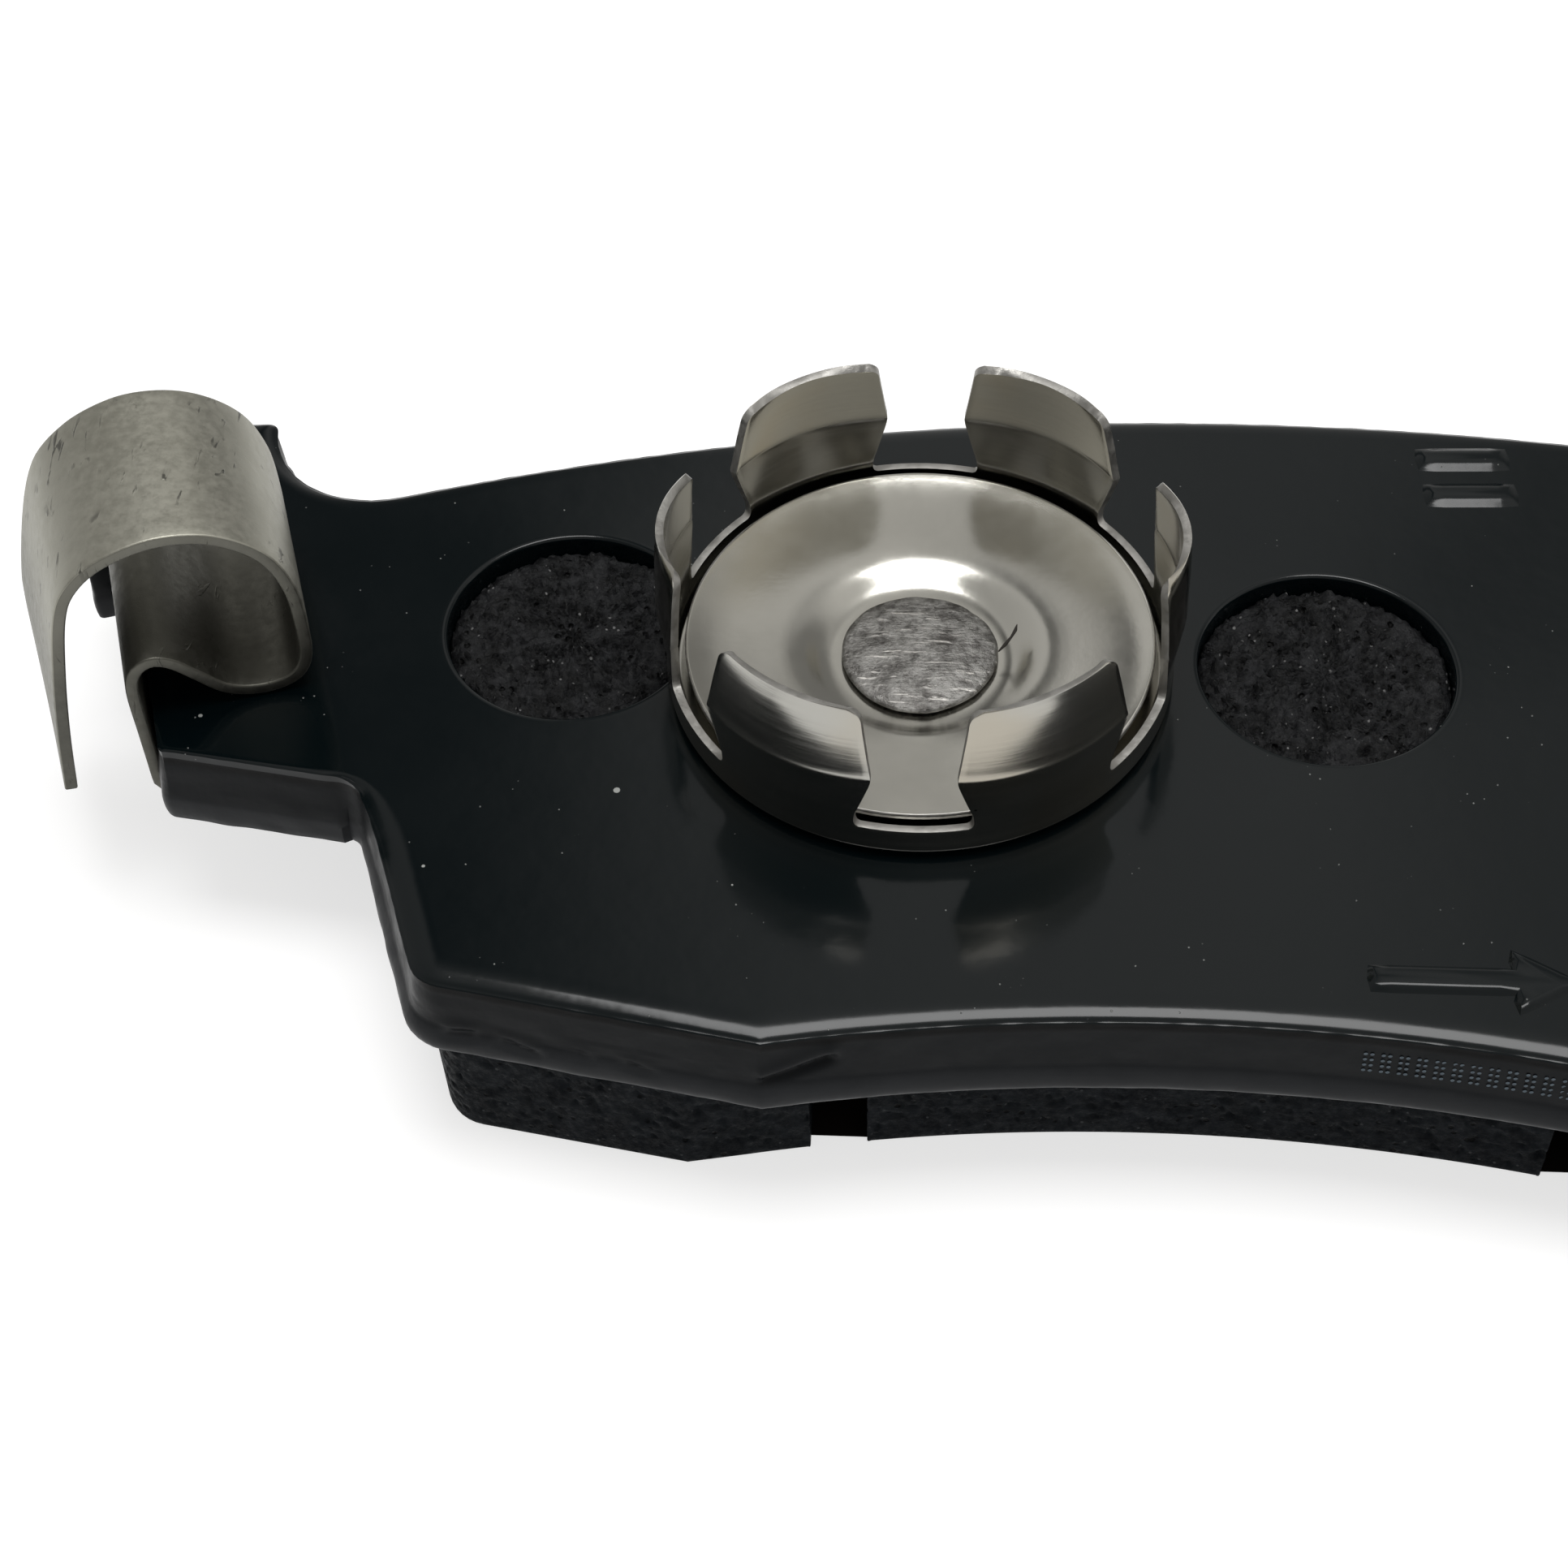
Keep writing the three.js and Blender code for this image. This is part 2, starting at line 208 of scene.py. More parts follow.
class Finish:
    """One procedural material, built node by node on object coordinates."""

    def __init__(self, name, metallic=0.0, specular=0.5, ior=1.5):
        self.material = bpy.data.materials.new(name)
        self.material.use_nodes = True
        self.tree = self.material.node_tree
        self.shader = self.tree.nodes["Principled BSDF"]
        set_inputs(self.shader, {"Metallic": metallic, "Specular IOR Level": specular, "IOR": ior})
        self.coords = self.tree.nodes.new("ShaderNodeTexCoord").outputs["Object"]

    def put(self, socket, value):
        if isinstance(value, bpy.types.NodeSocket):
            self.tree.links.new(value, socket)
        elif isinstance(value, (tuple, list)) and len(value) == 3 and socket.type == "RGBA":
            socket.default_value = (*value, 1.0)
        else:
            socket.default_value = value

    def place(self, scale=(1, 1, 1), turn=(0, 0, 0), shift=(0, 0, 0), vector=None):
        node = self.tree.nodes.new("ShaderNodeMapping")
        self.put(node.inputs["Vector"], vector or self.coords)
        set_inputs(node, {"Scale": scale, "Rotation": turn, "Location": shift})
        return node.outputs[0]

    def moved(self, shift):
        """The coordinates, shifted so that two textures don't follow each other."""
        return self.place(shift=shift) if shift else self.coords

    def noise(self, scale, detail=3.0, rough=0.55, vector=None, warp=0.0, shift=None):
        node = self.tree.nodes.new("ShaderNodeTexNoise")
        self.put(node.inputs["Vector"], vector or self.moved(shift))
        set_inputs(node, {"Scale": scale, "Detail": detail, "Roughness": rough, "Distortion": warp})
        return node.outputs["Fac"]

    def cells(self, scale, shift=None):
        node = self.tree.nodes.new("ShaderNodeTexVoronoi")
        self.put(node.inputs["Vector"], self.moved(shift))
        node.inputs["Scale"].default_value = scale
        return node.outputs["Distance"]

    def spread(self, value, low, high, to_low=0.0, to_high=1.0):
        node = self.tree.nodes.new("ShaderNodeMapRange")
        node.interpolation_type = "SMOOTHSTEP"
        self.put(node.inputs["Value"], value)
        set_inputs(node, {"From Min": low, "From Max": high, "To Min": to_low, "To Max": to_high})
        return node.outputs[0]

    def calc(self, kind, first, second=0.0):
        node = self.tree.nodes.new("ShaderNodeMath")
        node.operation = kind
        self.put(node.inputs[0], first)
        self.put(node.inputs[1], second)
        return node.outputs[0]

    def blend(self, factor, first, second):
        node = self.tree.nodes.new("ShaderNodeMix")
        node.data_type = "RGBA"
        self.put(node.inputs["Factor"], factor)
        self.put(node.inputs[6], first)
        self.put(node.inputs[7], second)
        return node.outputs[2]

    def axis(self, name):
        node = self.tree.nodes.new("ShaderNodeSeparateXYZ")
        self.put(node.inputs[0], self.coords)
        return node.outputs[name]

    def bump(self, height, depth_mm, under=None):
        node = self.tree.nodes.new("ShaderNodeBump")
        set_inputs(node, {"Strength": 1.0, "Distance": depth_mm * MM})
        self.put(node.inputs["Height"], height)
        if under is not None:
            self.put(node.inputs["Normal"], under)
        return node.outputs[0]

    def colour(self, value):
        self.put(self.shader.inputs["Base Color"], value)

    def roughness(self, value):
        self.put(self.shader.inputs["Roughness"], value)

    def normal(self, value):
        self.put(self.shader.inputs["Normal"], value)


def powder_coat():
    """Glossy black powder coat with a faint orange peel and settled dust."""
    f = Finish("black_powder_coat", specular=0.30)
    wander = f.noise(700, 2, warp=0.4)
    grit = f.cells(330)
    sparse = f.noise(150, 2, shift=(0.3, 0.1, 0.2))
    size = f.spread(sparse, 0.46, 0.70, 0.0, 0.085)
    edge = f.calc("MULTIPLY", wander, 0.05)
    near = f.calc("SUBTRACT", f.calc("ADD", size, edge), f.calc("ADD", grit, 0.025))
    speck = f.spread(near, 0.0, 0.012)
    fine = f.cells(1500)
    fine_mask = f.spread(f.noise(420, 2, shift=(0.9, 0.4, 0)), 0.58, 0.68)
    fine_speck = f.calc("MULTIPLY", f.spread(fine, 0.11, 0.05), fine_mask)
    dust = f.calc("MAXIMUM", speck, f.calc("MULTIPLY", fine_speck, 0.6))
    cloud = f.noise(35, 4, 0.6)
    black = f.blend(cloud, (0.0006, 0.0024, 0.0032), (0.0012, 0.0034, 0.0042))
    f.colour(f.blend(dust, black, (0.30, 0.31, 0.30)))
    base_rough = f.spread(f.noise(60, 5, 0.65), 0.3, 0.7, 0.10, 0.16)
    f.roughness(f.calc("MAXIMUM", base_rough, f.calc("MULTIPLY", dust, 0.8)))
    peel = f.bump(f.noise(560, 2, 0.5), 0.010)
    ripple = f.bump(f.noise(120, 2, 0.5), 0.028, peel)
    f.normal(f.bump(dust, 0.03, ripple))
    return f.material


def coated_side():
    """The same coat on the sheared side: dark under the rim with painted shadow, and greyer over
    the torn lower third, partly rough torn coat and partly painted sheen.
    """
    f = Finish("black_coat_on_sheared_edge", ior=1.19)
    lumps = f.noise(240, 4, 0.6)
    height = f.axis("Z")
    # The torn lower third is greyer: partly its rougher torn coat, partly painted sheen for the
    # light its upward-leaning face catches.
    torn_and_lit = f.spread(height, 0.0122, 0.0114)
    rim_shadow = f.spread(height, 0.0143, 0.0149)
    smooth_part = f.blend(lumps, (0.0044, 0.0052, 0.0060), (0.0080, 0.0090, 0.0102))
    torn_lit_part = f.blend(lumps, (0.014, 0.0150, 0.0165), (0.024, 0.0255, 0.0275))
    tone = f.blend(torn_and_lit, smooth_part, torn_lit_part)
    f.colour(f.blend(rim_shadow, tone, (0.0002, 0.0002, 0.0003)))
    f.roughness(f.spread(f.noise(500, 4, 0.6), 0.3, 0.7, 0.30, 0.46))
    streaks = f.noise(1.0, 3, 0.6, vector=f.place(scale=(900, 900, 120)))
    f.normal(f.bump(lumps, 0.08, f.bump(streaks, 0.02)))
    return f.material


def compound(name, dark, light, fleck, depth, ior=1.12):
    """Pressed friction compound: gritty, with small sharp pits darkened by painted shade, and a few
    bright grains.
    """
    f = Finish(name, ior=ior)
    grain = f.noise(2200, 5, 0.7)
    lumps = f.noise(520, 5, 0.65, shift=(0.2, 0.5, 0.1))
    base = f.blend(f.spread(f.noise(700, 5, 0.65), 0.35, 0.65), dark, light)
    chips = f.spread(f.cells(1700, shift=(0.7, 0.2, 0.4)), 0.20, 0.12)
    chosen = f.spread(f.noise(700, 2, shift=(0.4, 0.9, 0.3)), 0.54, 0.60)
    flecks = f.calc("MULTIPLY", chips, chosen)
    hole = f.spread(f.cells(1050, shift=(0.1, 0.3, 0.8)), 0.12, 0.26, 1.0, 0.0)
    pits_and_pit_shade = f.calc("MULTIPLY", hole, f.spread(f.noise(300, 3, shift=(0.6, 0.2, 0.5)), 0.46, 0.54))
    tone = f.blend(flecks, base, fleck)
    # Painted shade: in the pits the colour drops to a fifth of the dark tone.
    f.colour(f.blend(pits_and_pit_shade, tone, tuple(0.2 * c for c in dark)))
    f.roughness(f.spread(grain, 0.3, 0.7, 0.38, 0.8))
    low = f.bump(lumps, depth)
    mid = f.bump(f.calc("SUBTRACT", 1.0, pits_and_pit_shade), depth * 0.6, low)
    f.normal(f.bump(grain, depth * 0.22, mid))
    return f.material


def bright_steel():
    """Formed spring stainless: bright, faintly warm, with rolling streaks along the strip."""
    f = Finish("formed_stainless", metallic=1.0)
    cloud = f.noise(110, 4, 0.6)
    warm = f.spread(f.noise(60, 3, 0.6, shift=(0.4, 0.2, 0.9)), 0.48, 0.66)
    base = f.blend(cloud, (0.37, 0.364, 0.335), (0.43, 0.422, 0.39))
    plain = f.blend(f.calc("MULTIPLY", warm, 0.55), base, (0.40, 0.355, 0.275))
    # Painted highlight: the upper parts of the back fingers get a much lighter, warmer base,
    # standing for the light they catch.
    painted_light_tone = f.blend(f.calc("MULTIPLY", warm, 0.75), (0.72, 0.70, 0.63), (0.72, 0.62, 0.45))
    above_crease = f.spread(f.axis("Z"), 0.0224, 0.0231)
    lit_back_fingers = f.calc("MULTIPLY", f.spread(f.axis("Y"), 0.005, 0.012), above_crease)
    tint_and_painted_light = f.blend(lit_back_fingers, plain, painted_light_tone)
    pits = f.spread(f.cells(700, shift=(0.2, 0.6, 0.4)), 0.075, 0.04)
    rare = f.spread(f.noise(260, 2, shift=(0.8, 0.3, 0.5)), 0.60, 0.66)
    spots = f.calc("MULTIPLY", pits, rare)
    f.colour(f.blend(spots, tint_and_painted_light, (0.05, 0.04, 0.035)))
    streaks = f.noise(1.0, 4, 0.6, vector=f.place(scale=(160, 160, 3200)))
    f.roughness(f.spread(f.calc("ADD", cloud, streaks), 0.7, 1.3, 0.13, 0.20))
    f.normal(f.bump(streaks, 0.003, f.bump(f.noise(90, 2), 0.05)))
    return f.material


def sheared_steel():
    """The raw sheared edges of the clip's sheet."""
    f = Finish("sheared_edge_steel", metallic=1.0)
    tear = f.noise(900, 4, 0.7)
    f.colour(f.blend(tear, (0.20, 0.195, 0.18), (0.46, 0.45, 0.43)))
    f.roughness(f.spread(tear, 0.3, 0.7, 0.36, 0.6))
    f.normal(f.bump(tear, 0.06))
    return f.material


def satin_steel():
    """The disc's satin sheet, with fine grain, small dark specks and a painted reflection that
    lightens it towards its right side.
    """
    f = Finish("satin_stainless_disc", metallic=1.0)
    cloud = f.noise(150, 5, 0.6)
    base = f.blend(f.spread(cloud, 0.3, 0.7), (0.385, 0.378, 0.345), (0.42, 0.412, 0.378))
    dots = f.spread(f.cells(520, shift=(0.1, 0.4, 0.2)), 0.085, 0.045)
    rare = f.spread(f.noise(260, 2, shift=(0.6, 0.1, 0.9)), 0.60, 0.68)
    # Painted reflection: the base grows much lighter towards the disc's right side.
    lit_right_side = f.blend(f.spread(f.axis("X"), -0.017, -0.008), base, (0.66, 0.65, 0.60))
    f.colour(f.blend(f.calc("MULTIPLY", dots, rare), lit_right_side, (0.09, 0.08, 0.07)))
    f.roughness(f.spread(f.noise(420, 5, 0.65), 0.3, 0.7, 0.15, 0.20))
    f.normal(f.bump(f.noise(2600, 3), 0.003, f.bump(f.noise(160, 2), 0.02)))
    return f.material


def rivet_steel():
    """The rivet head: struck, mottled grey steel with bright scratches across it."""
    f = Finish("struck_rivet_steel", metallic=1.0)
    centre = f.place(shift=(0.018, -0.0015, 0.0))
    mottle = f.noise(1500, 6, 0.75)
    patches = f.noise(650, 5, 0.7, shift=(0.5, 0.2, 0.1))
    drag = f.noise(1.0, 4, 0.65,
                   vector=f.place(scale=(500, 4200, 800), turn=(0, 0, -0.6), vector=centre),
                   warp=0.5)
    scratch = f.spread(drag, 0.58, 0.70)
    base = f.blend(f.spread(f.calc("ADD", mottle, patches), 0.75, 1.25), (0.10, 0.095, 0.09),
                   (0.33, 0.325, 0.31))
    f.colour(f.blend(scratch, base, (0.62, 0.60, 0.57)))
    f.roughness(f.spread(mottle, 0.3, 0.7, 0.34, 0.6))
    rough = f.bump(mottle, 0.09)
    f.normal(f.bump(drag, 0.05, f.bump(patches, 0.16, rough)))
    return f.material


def dull_steel(name, shade, marks_wanted):
    """The ear springs' strip: dull, grainy, with short dark handling marks, and painted shade that
    darkens it low down.
    """
    f = Finish(name, metallic=1.0)
    grain = f.noise(1500, 5, 0.7)
    cloud = f.noise(120, 4, 0.6, shift=(0.2, 0.2, 0.7))
    tones = ((0.44, 0.432, 0.365), (0.56, 0.55, 0.475))
    low, high = (tuple(shade * c for c in tone) for tone in tones)
    base = f.blend(f.spread(f.calc("ADD", grain, cloud), 0.7, 1.3), low, high)
    marks = f.noise(1.0, 3, 0.5, vector=f.place(scale=(1900, 520, 600), turn=(0.3, 0.2, 0.6)),
                    warp=0.7)
    rare = f.spread(f.noise(260, 3, shift=(0.7, 0.8, 0.1)), 0.50, 0.60)
    scrape = f.calc("MULTIPLY", f.spread(marks, 0.60, 0.68), rare)
    # Painted shade: below about 18 to 26 mm up, the base drops to a darker tone.
    shaded_below = f.blend(f.spread(f.axis("Z"), 0.018, 0.026), tuple(0.55 * c for c in high), base)
    f.colour(f.blend(f.calc("MULTIPLY", scrape, marks_wanted), shaded_below, (0.06, 0.06, 0.053)))
    f.roughness(f.spread(grain, 0.3, 0.7, 0.42, 0.56))
    f.normal(f.bump(grain, 0.02, f.bump(scrape, 0.02)))
    return f.material


def ink():
    """Faded blue-grey marking ink."""
    f = Finish("faded_ink", specular=0.3)
    f.colour(f.blend(f.noise(3000, 3), (0.03, 0.045, 0.06), (0.10, 0.13, 0.155)))
    f.roughness(0.6)
    return f.material


def lint():
    """A dark wisp of fibre."""
    f = Finish("dark_lint", specular=0.2)
    f.colour(f.blend(f.noise(4000, 2), (0.015, 0.013, 0.012), (0.05, 0.045, 0.04)))
    f.roughness(0.9)
    return f.material


# ---------- outlines ----------

def rounded_outline(corners, step=0.18):
    """Closed outline with rounded corners, each corner being (x, y, radius)."""
    points = []
    count = len(corners)
    for index, (x, y, radius) in enumerate(corners):
        corner = np.array((x, y))
        if radius == 0:
            points.append(corner)
            continue
        before = np.array(corners[index - 1][:2])
        after = np.array(corners[(index + 1) % count][:2])
        incoming = (corner - before) / np.linalg.norm(corner - before)
        outgoing = (after - corner) / np.linalg.norm(after - corner)
        turn = math.atan2(incoming[0] * outgoing[1] - incoming[1] * outgoing[0],
                          incoming @ outgoing)
        reach = radius * math.tan(abs(turn) / 2)
        start = corner - incoming * reach
        centre = start + np.array((-incoming[1], incoming[0])) * math.copysign(radius, turn)
        arm = start - centre
        steps = max(3, math.ceil(abs(turn) / step))
        for k in range(steps + 1):
            a = turn * k / steps
            c, s = math.cos(a), math.sin(a)
            points.append(centre + np.array((c * arm[0] - s * arm[1], s * arm[0] + c * arm[1])))
    return np.array(points)


def refine(outline, longest):
    """Splits the long edges of a closed outline."""
    points = []
    for a, b in zip(outline, np.roll(outline, -1, axis=0)):
        parts = max(1, math.ceil(np.linalg.norm(b - a) / longest))
        points.extend(a + (b - a) * k / parts for k in range(parts))
    return np.array(points)


def arc_y(arc, x, inset=0.0):
    return arc[1] + math.sqrt((arc[2] + inset) ** 2 - (x - arc[0]) ** 2)


def arc_points(arc, start, end, inset=0.0, steps=60):
    return [(x, arc_y(arc, x, inset), 0) for x in np.linspace(start, end, steps + 1)]


def ear_point(u, n):
    c, s = math.cos(EAR_ANGLE), math.sin(EAR_ANGLE)
    return EAR_CORNER[0] + u * c - n * s, EAR_CORNER[1] + u * s + n * c


def plate_outline():
    left = [
        (-46.98, -24.65, 3.4),
        (-52.47, -9.27, 1.8),
        (*ear_point(0, 0), 0.6),
        (*ear_point(0, SEAT_LENGTH), 0.5),
        (*ear_point(-HORN_STEP, SEAT_LENGTH), 0.6),
        (*ear_point(-HORN_STEP, SEAT_LENGTH + HORN_LENGTH), 2.5),
        (-66.9, 23.3, 1.8),
        (-62.0, 23.3, 1.4),
        (-59.7, 14.8, 6.3),
    ]
    right = [(-x, y, r) for x, y, r in left][::-1]
    clockwise = left + arc_points(OUTER_ARC, -53, 53) + right
    clockwise += arc_points(INNER_ARC, INNER_CORNER_X, -INNER_CORNER_X)
    return refine(rounded_outline(clockwise[::-1]), 0.42)


def inward_normals(outline):
    along = np.roll(outline, -1, axis=0) - np.roll(outline, 1, axis=0)
    normal = np.stack((-along[:, 1], along[:, 0]), axis=1)
    return normal / np.linalg.norm(normal, axis=1)[:, None]


def depth_limits(outline, deepest):
    """How far each outline point can go inwards before another part of the outline is as close."""
    normals = inward_normals(outline)
    limit = np.full(len(outline), deepest)
    for depth in np.linspace(0.1, deepest, 24):
        moved = outline + normals * depth
        nearest = np.sqrt(((moved[:, None] - outline[None]) ** 2).sum(axis=2)).min(axis=1)
        blocked = (nearest < depth * 0.97 - 0.02) & (limit >= depth)
        limit[blocked] = depth - 0.1
    for _ in range(6):
        limit = np.minimum(limit, (np.roll(limit, 1) + np.roll(limit, -1)) / 2 + 0.04)
    return np.maximum(limit, 0.05)


# ---------- modelling helpers ----------

def unit(value):
    """Holds a share between nought and one."""
    return min(1.0, max(0.0, value))


def ease(value, start, end):
    """Goes gently from nought at the start to one at the end."""
    share = unit((value - start) / (end - start))
    return share * share * (3 - 2 * share)


def pick(piece):
    """Selects one piece alone and makes it the active one."""
    bpy.ops.object.select_all(action="DESELECT")
    bpy.context.view_layer.objects.active = piece
    piece.select_set(True)


def start_ring(name, ring):
    """A new mesh object, in edit mode, whose circle primitive is set out on the ring's points."""
    bpy.ops.object.select_all(action="DESELECT")
    bpy.ops.mesh.primitive_circle_add(vertices=len(ring), radius=1.0, fill_type="NOTHING",
                                      location=(0, 0, 0))
    piece = bpy.context.object
    piece.name = name
    piece.data.name = name
    for vertex, point in zip(piece.data.vertices, ring):
        vertex.co = Vector(point) * MM
    bpy.ops.object.mode_set(mode="EDIT")
    bpy.ops.mesh.select_all(action="SELECT")
    return piece


def extrude_ring(piece, ring_index, ring):
    """Extrudes the selected loop and sets the new loop out on the ring's points."""
    bpy.ops.mesh.extrude_region_move(TRANSFORM_OT_translate={"value": (0, 0, 0)})
    mesh = bmesh.from_edit_mesh(piece.data)
    mesh.verts.ensure_lookup_table()
    chosen = set(v.index for v in mesh.verts if v.select)
    fresh = []
    for index, point in zip(ring_index, ring):
        twin = next(e.other_vert(mesh.verts[index]) for e in mesh.verts[index].link_edges
                    if e.other_vert(mesh.verts[index]).index in chosen)
        twin.co = Vector(point) * MM
        fresh.append(twin.index)
    bmesh.update_edit_mesh(piece.data)
    return fresh


def ring_stack(name, rings, close_start=False, close_end=False):
    """Walls through a row of rings with equal numbers of points."""
    piece = start_ring(name, rings[0])
    if close_start:
        bpy.ops.mesh.edge_face_add()
    ring_index = list(range(len(rings[0])))
    for ring in rings[1:]:
        ring_index = extrude_ring(piece, ring_index, ring)
    if close_end:
        bpy.ops.mesh.edge_face_add()
    bpy.ops.object.mode_set(mode="OBJECT")
    return piece


def circle(centre, radius, height, count):
    """Points of a level ring about an upright axis."""
    ring = []
    for k in range(count):
        a = 2 * math.pi * k / count
        ring.append((centre[0] + radius * math.cos(a), centre[1] + radius * math.sin(a), height))
    return ring


def join(pieces, name):
    bpy.ops.object.select_all(action="DESELECT")
    for piece in pieces:
        piece.select_set(True)
    bpy.context.view_layer.objects.active = pieces[0]
    bpy.ops.object.join()
    pieces[0].name = name
    pieces[0].data.name = name
    return pieces[0]


def fill_between(piece, height):
    """Fills the flat area between all open loops that lie at one height."""
    tolerance = 0.004
    pick(piece)
    bpy.ops.object.mode_set(mode="EDIT")
    bpy.ops.mesh.select_mode(type="EDGE")
    bpy.ops.mesh.select_all(action="DESELECT")
    mesh = bmesh.from_edit_mesh(piece.data)
    for edge in mesh.edges:
        flat = all(abs(v.co.z - height * MM) < tolerance * MM for v in edge.verts)
        edge.select_set(edge.is_boundary and flat)
    bmesh.update_edit_mesh(piece.data)
    bpy.ops.mesh.fill(use_beauty=True)
    bpy.ops.mesh.select_mode(type="VERT")
    bpy.ops.object.mode_set(mode="OBJECT")


def tidy_mesh(piece, merge_mm=0.002):
    """Merges doubles and turns every face outwards."""
    pick(piece)
    bpy.ops.object.mode_set(mode="EDIT")
    bpy.ops.mesh.select_all(action="SELECT")
    bpy.ops.mesh.remove_doubles(threshold=merge_mm * MM)
    bpy.ops.mesh.normals_make_consistent(inside=False)
    bpy.ops.object.mode_set(mode="OBJECT")


def smooth(piece, degrees):
    pick(piece)
    bpy.ops.object.shade_smooth_by_angle(angle=math.radians(degrees))


def thicken(piece, sheet, edge, segments, other_side=0):
    """Gives a bent surface its sheet thickness and takes the sharpness off its edges."""
    wall = piece.modifiers.new("sheet", "SOLIDIFY")
    wall.thickness = sheet * MM
    wall.offset = 0.0
    wall.use_even_offset = True
    wall.material_offset_rim = 1
    wall.material_offset = other_side
    soften = piece.modifiers.new("soften", "BEVEL")
    soften.width = edge * MM
    soften.segments = segments
    soften.limit_method = "ANGLE"
    soften.angle_limit = math.radians(50)
    pick(piece)
    for modifier in list(piece.modifiers):
        bpy.ops.object.modifier_apply(modifier=modifier.name)
    smooth(piece, 45)


def finish_piece(piece, body, materials):
    chosen = [polygon.material_index for polygon in piece.data.polygons]
    piece.data.materials.clear()
    for material in materials:
        piece.data.materials.append(material)
    for polygon, index in zip(piece.data.polygons, chosen):
        polygon.material_index = index
    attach(piece, body)
    return piece


def rock(point, scale, seed=0.0):
    """Smooth noise at a point given in millimetres."""
    return noise.noise(Vector(point) * scale + Vector((seed, seed * 1.7, -seed)))


# ---------- backing plate ----------

# The stamped edge from the top flat down to the underside: (inset, height below the top).
EDGE_PROFILE = [
    (3.0, 0.0), (2.75, -0.004), (2.5, -0.016), (2.25, -0.036), (2.03, -0.062), (1.84, -0.092),
    (1.68, -0.127), (1.53, -0.17), (1.40, -0.213), (1.28, -0.262), (1.18, -0.314), (1.09, -0.37),
    (1.02, -0.395), (0.96, -0.42), (0.93, -0.47), (1.0, -0.53), (1.14, -0.60), (1.14, -0.72),
    (1.05, -1.0),
]
EDGE_PROFILE += [
    (round(1.03 - 0.165 * (drop - 1.3), 3), -drop) for drop in np.arange(1.3, 3.9, 0.16)
]
EDGE_PROFILE += [
    (0.52, -3.98), (0.42, -4.12), (0.32, -4.27), (0.22, -4.42), (0.14, -4.58), (0.08, -4.74),
    (0.04, -4.92), (0.03, -5.1), (0.03, -5.28), (0.1, -5.5), (0.32, -5.8),
]
# The profile's levels where the rim starts to waver, and where the sheared side starts.
RIM_FROM = 12
SIDE_FROM = 17
# Rings deeper in than this are evened out, by so many rounds for each millimetre.
EVEN_FROM, EVEN_ROUNDS, HORN_ROUNDS = 1.15, 14, 8
DOT_RADIUS = 0.125
EAR_ROLL = 0.25
BACK_ROLL = 0.72
SEAT_FLARE = 0.4
# Marks struck into the side: start x, start height, end x, end height, half width, depth.
SIDE_DENTS = [
    (-25.9, -3.7, -22.4, -2.5, 0.36, 0.42),
    (-44.6, -4.3, -43.2, -4.1, 0.30, 0.30),
    (-41.2, -4.2, -39.4, -4.5, 0.26, 0.30),
    (-36.9, -4.0, -36.2, -4.2, 0.22, 0.18),
    (-34.0, -4.1, -32.6, -4.3, 0.20, 0.20),
]


def edge_roll(x, y):
    """How much die-roll the edge has: full along the front, hardly any on the ear's seat."""
    roll = 1 - (1 - BACK_ROLL) * ease(y, -8, 8)
    seat = ease(abs(x), 50.5, 54.0) * (1 - ease(y, 2, 8))
    return roll + (EAR_ROLL - roll) * seat


def relax(ring, rounds):
    """Evens out a closed ring of points, so that tight corners don't fold over."""
    for _ in range(rounds):
        ring = (np.roll(ring, 1, axis=0) + 2 * ring + np.roll(ring, -1, axis=0)) / 4
    return ring


def side_dent(x, drop):
    """How far the side is knocked in at a place, less the lip thrown up above the mark."""
    total = 0.0
    for x0, z0, x1, z1, half, depth in SIDE_DENTS:
        along = ((x - x0) * (x1 - x0) + (drop - z0) * (z1 - z0)) / ((x1 - x0) ** 2 + (z1 - z0) ** 2)
        along = unit(along)
        near_x, near_z = x0 + along * (x1 - x0), z0 + along * (z1 - z0)
        away = math.hypot(x - near_x, drop - near_z)
        total += depth * math.exp(-(away / half) ** 2)
        lip = math.hypot(x - near_x, drop - near_z - 2.2 * half)
        total -= 0.45 * depth * math.exp(-(lip / (1.4 * half)) ** 2)
    return total


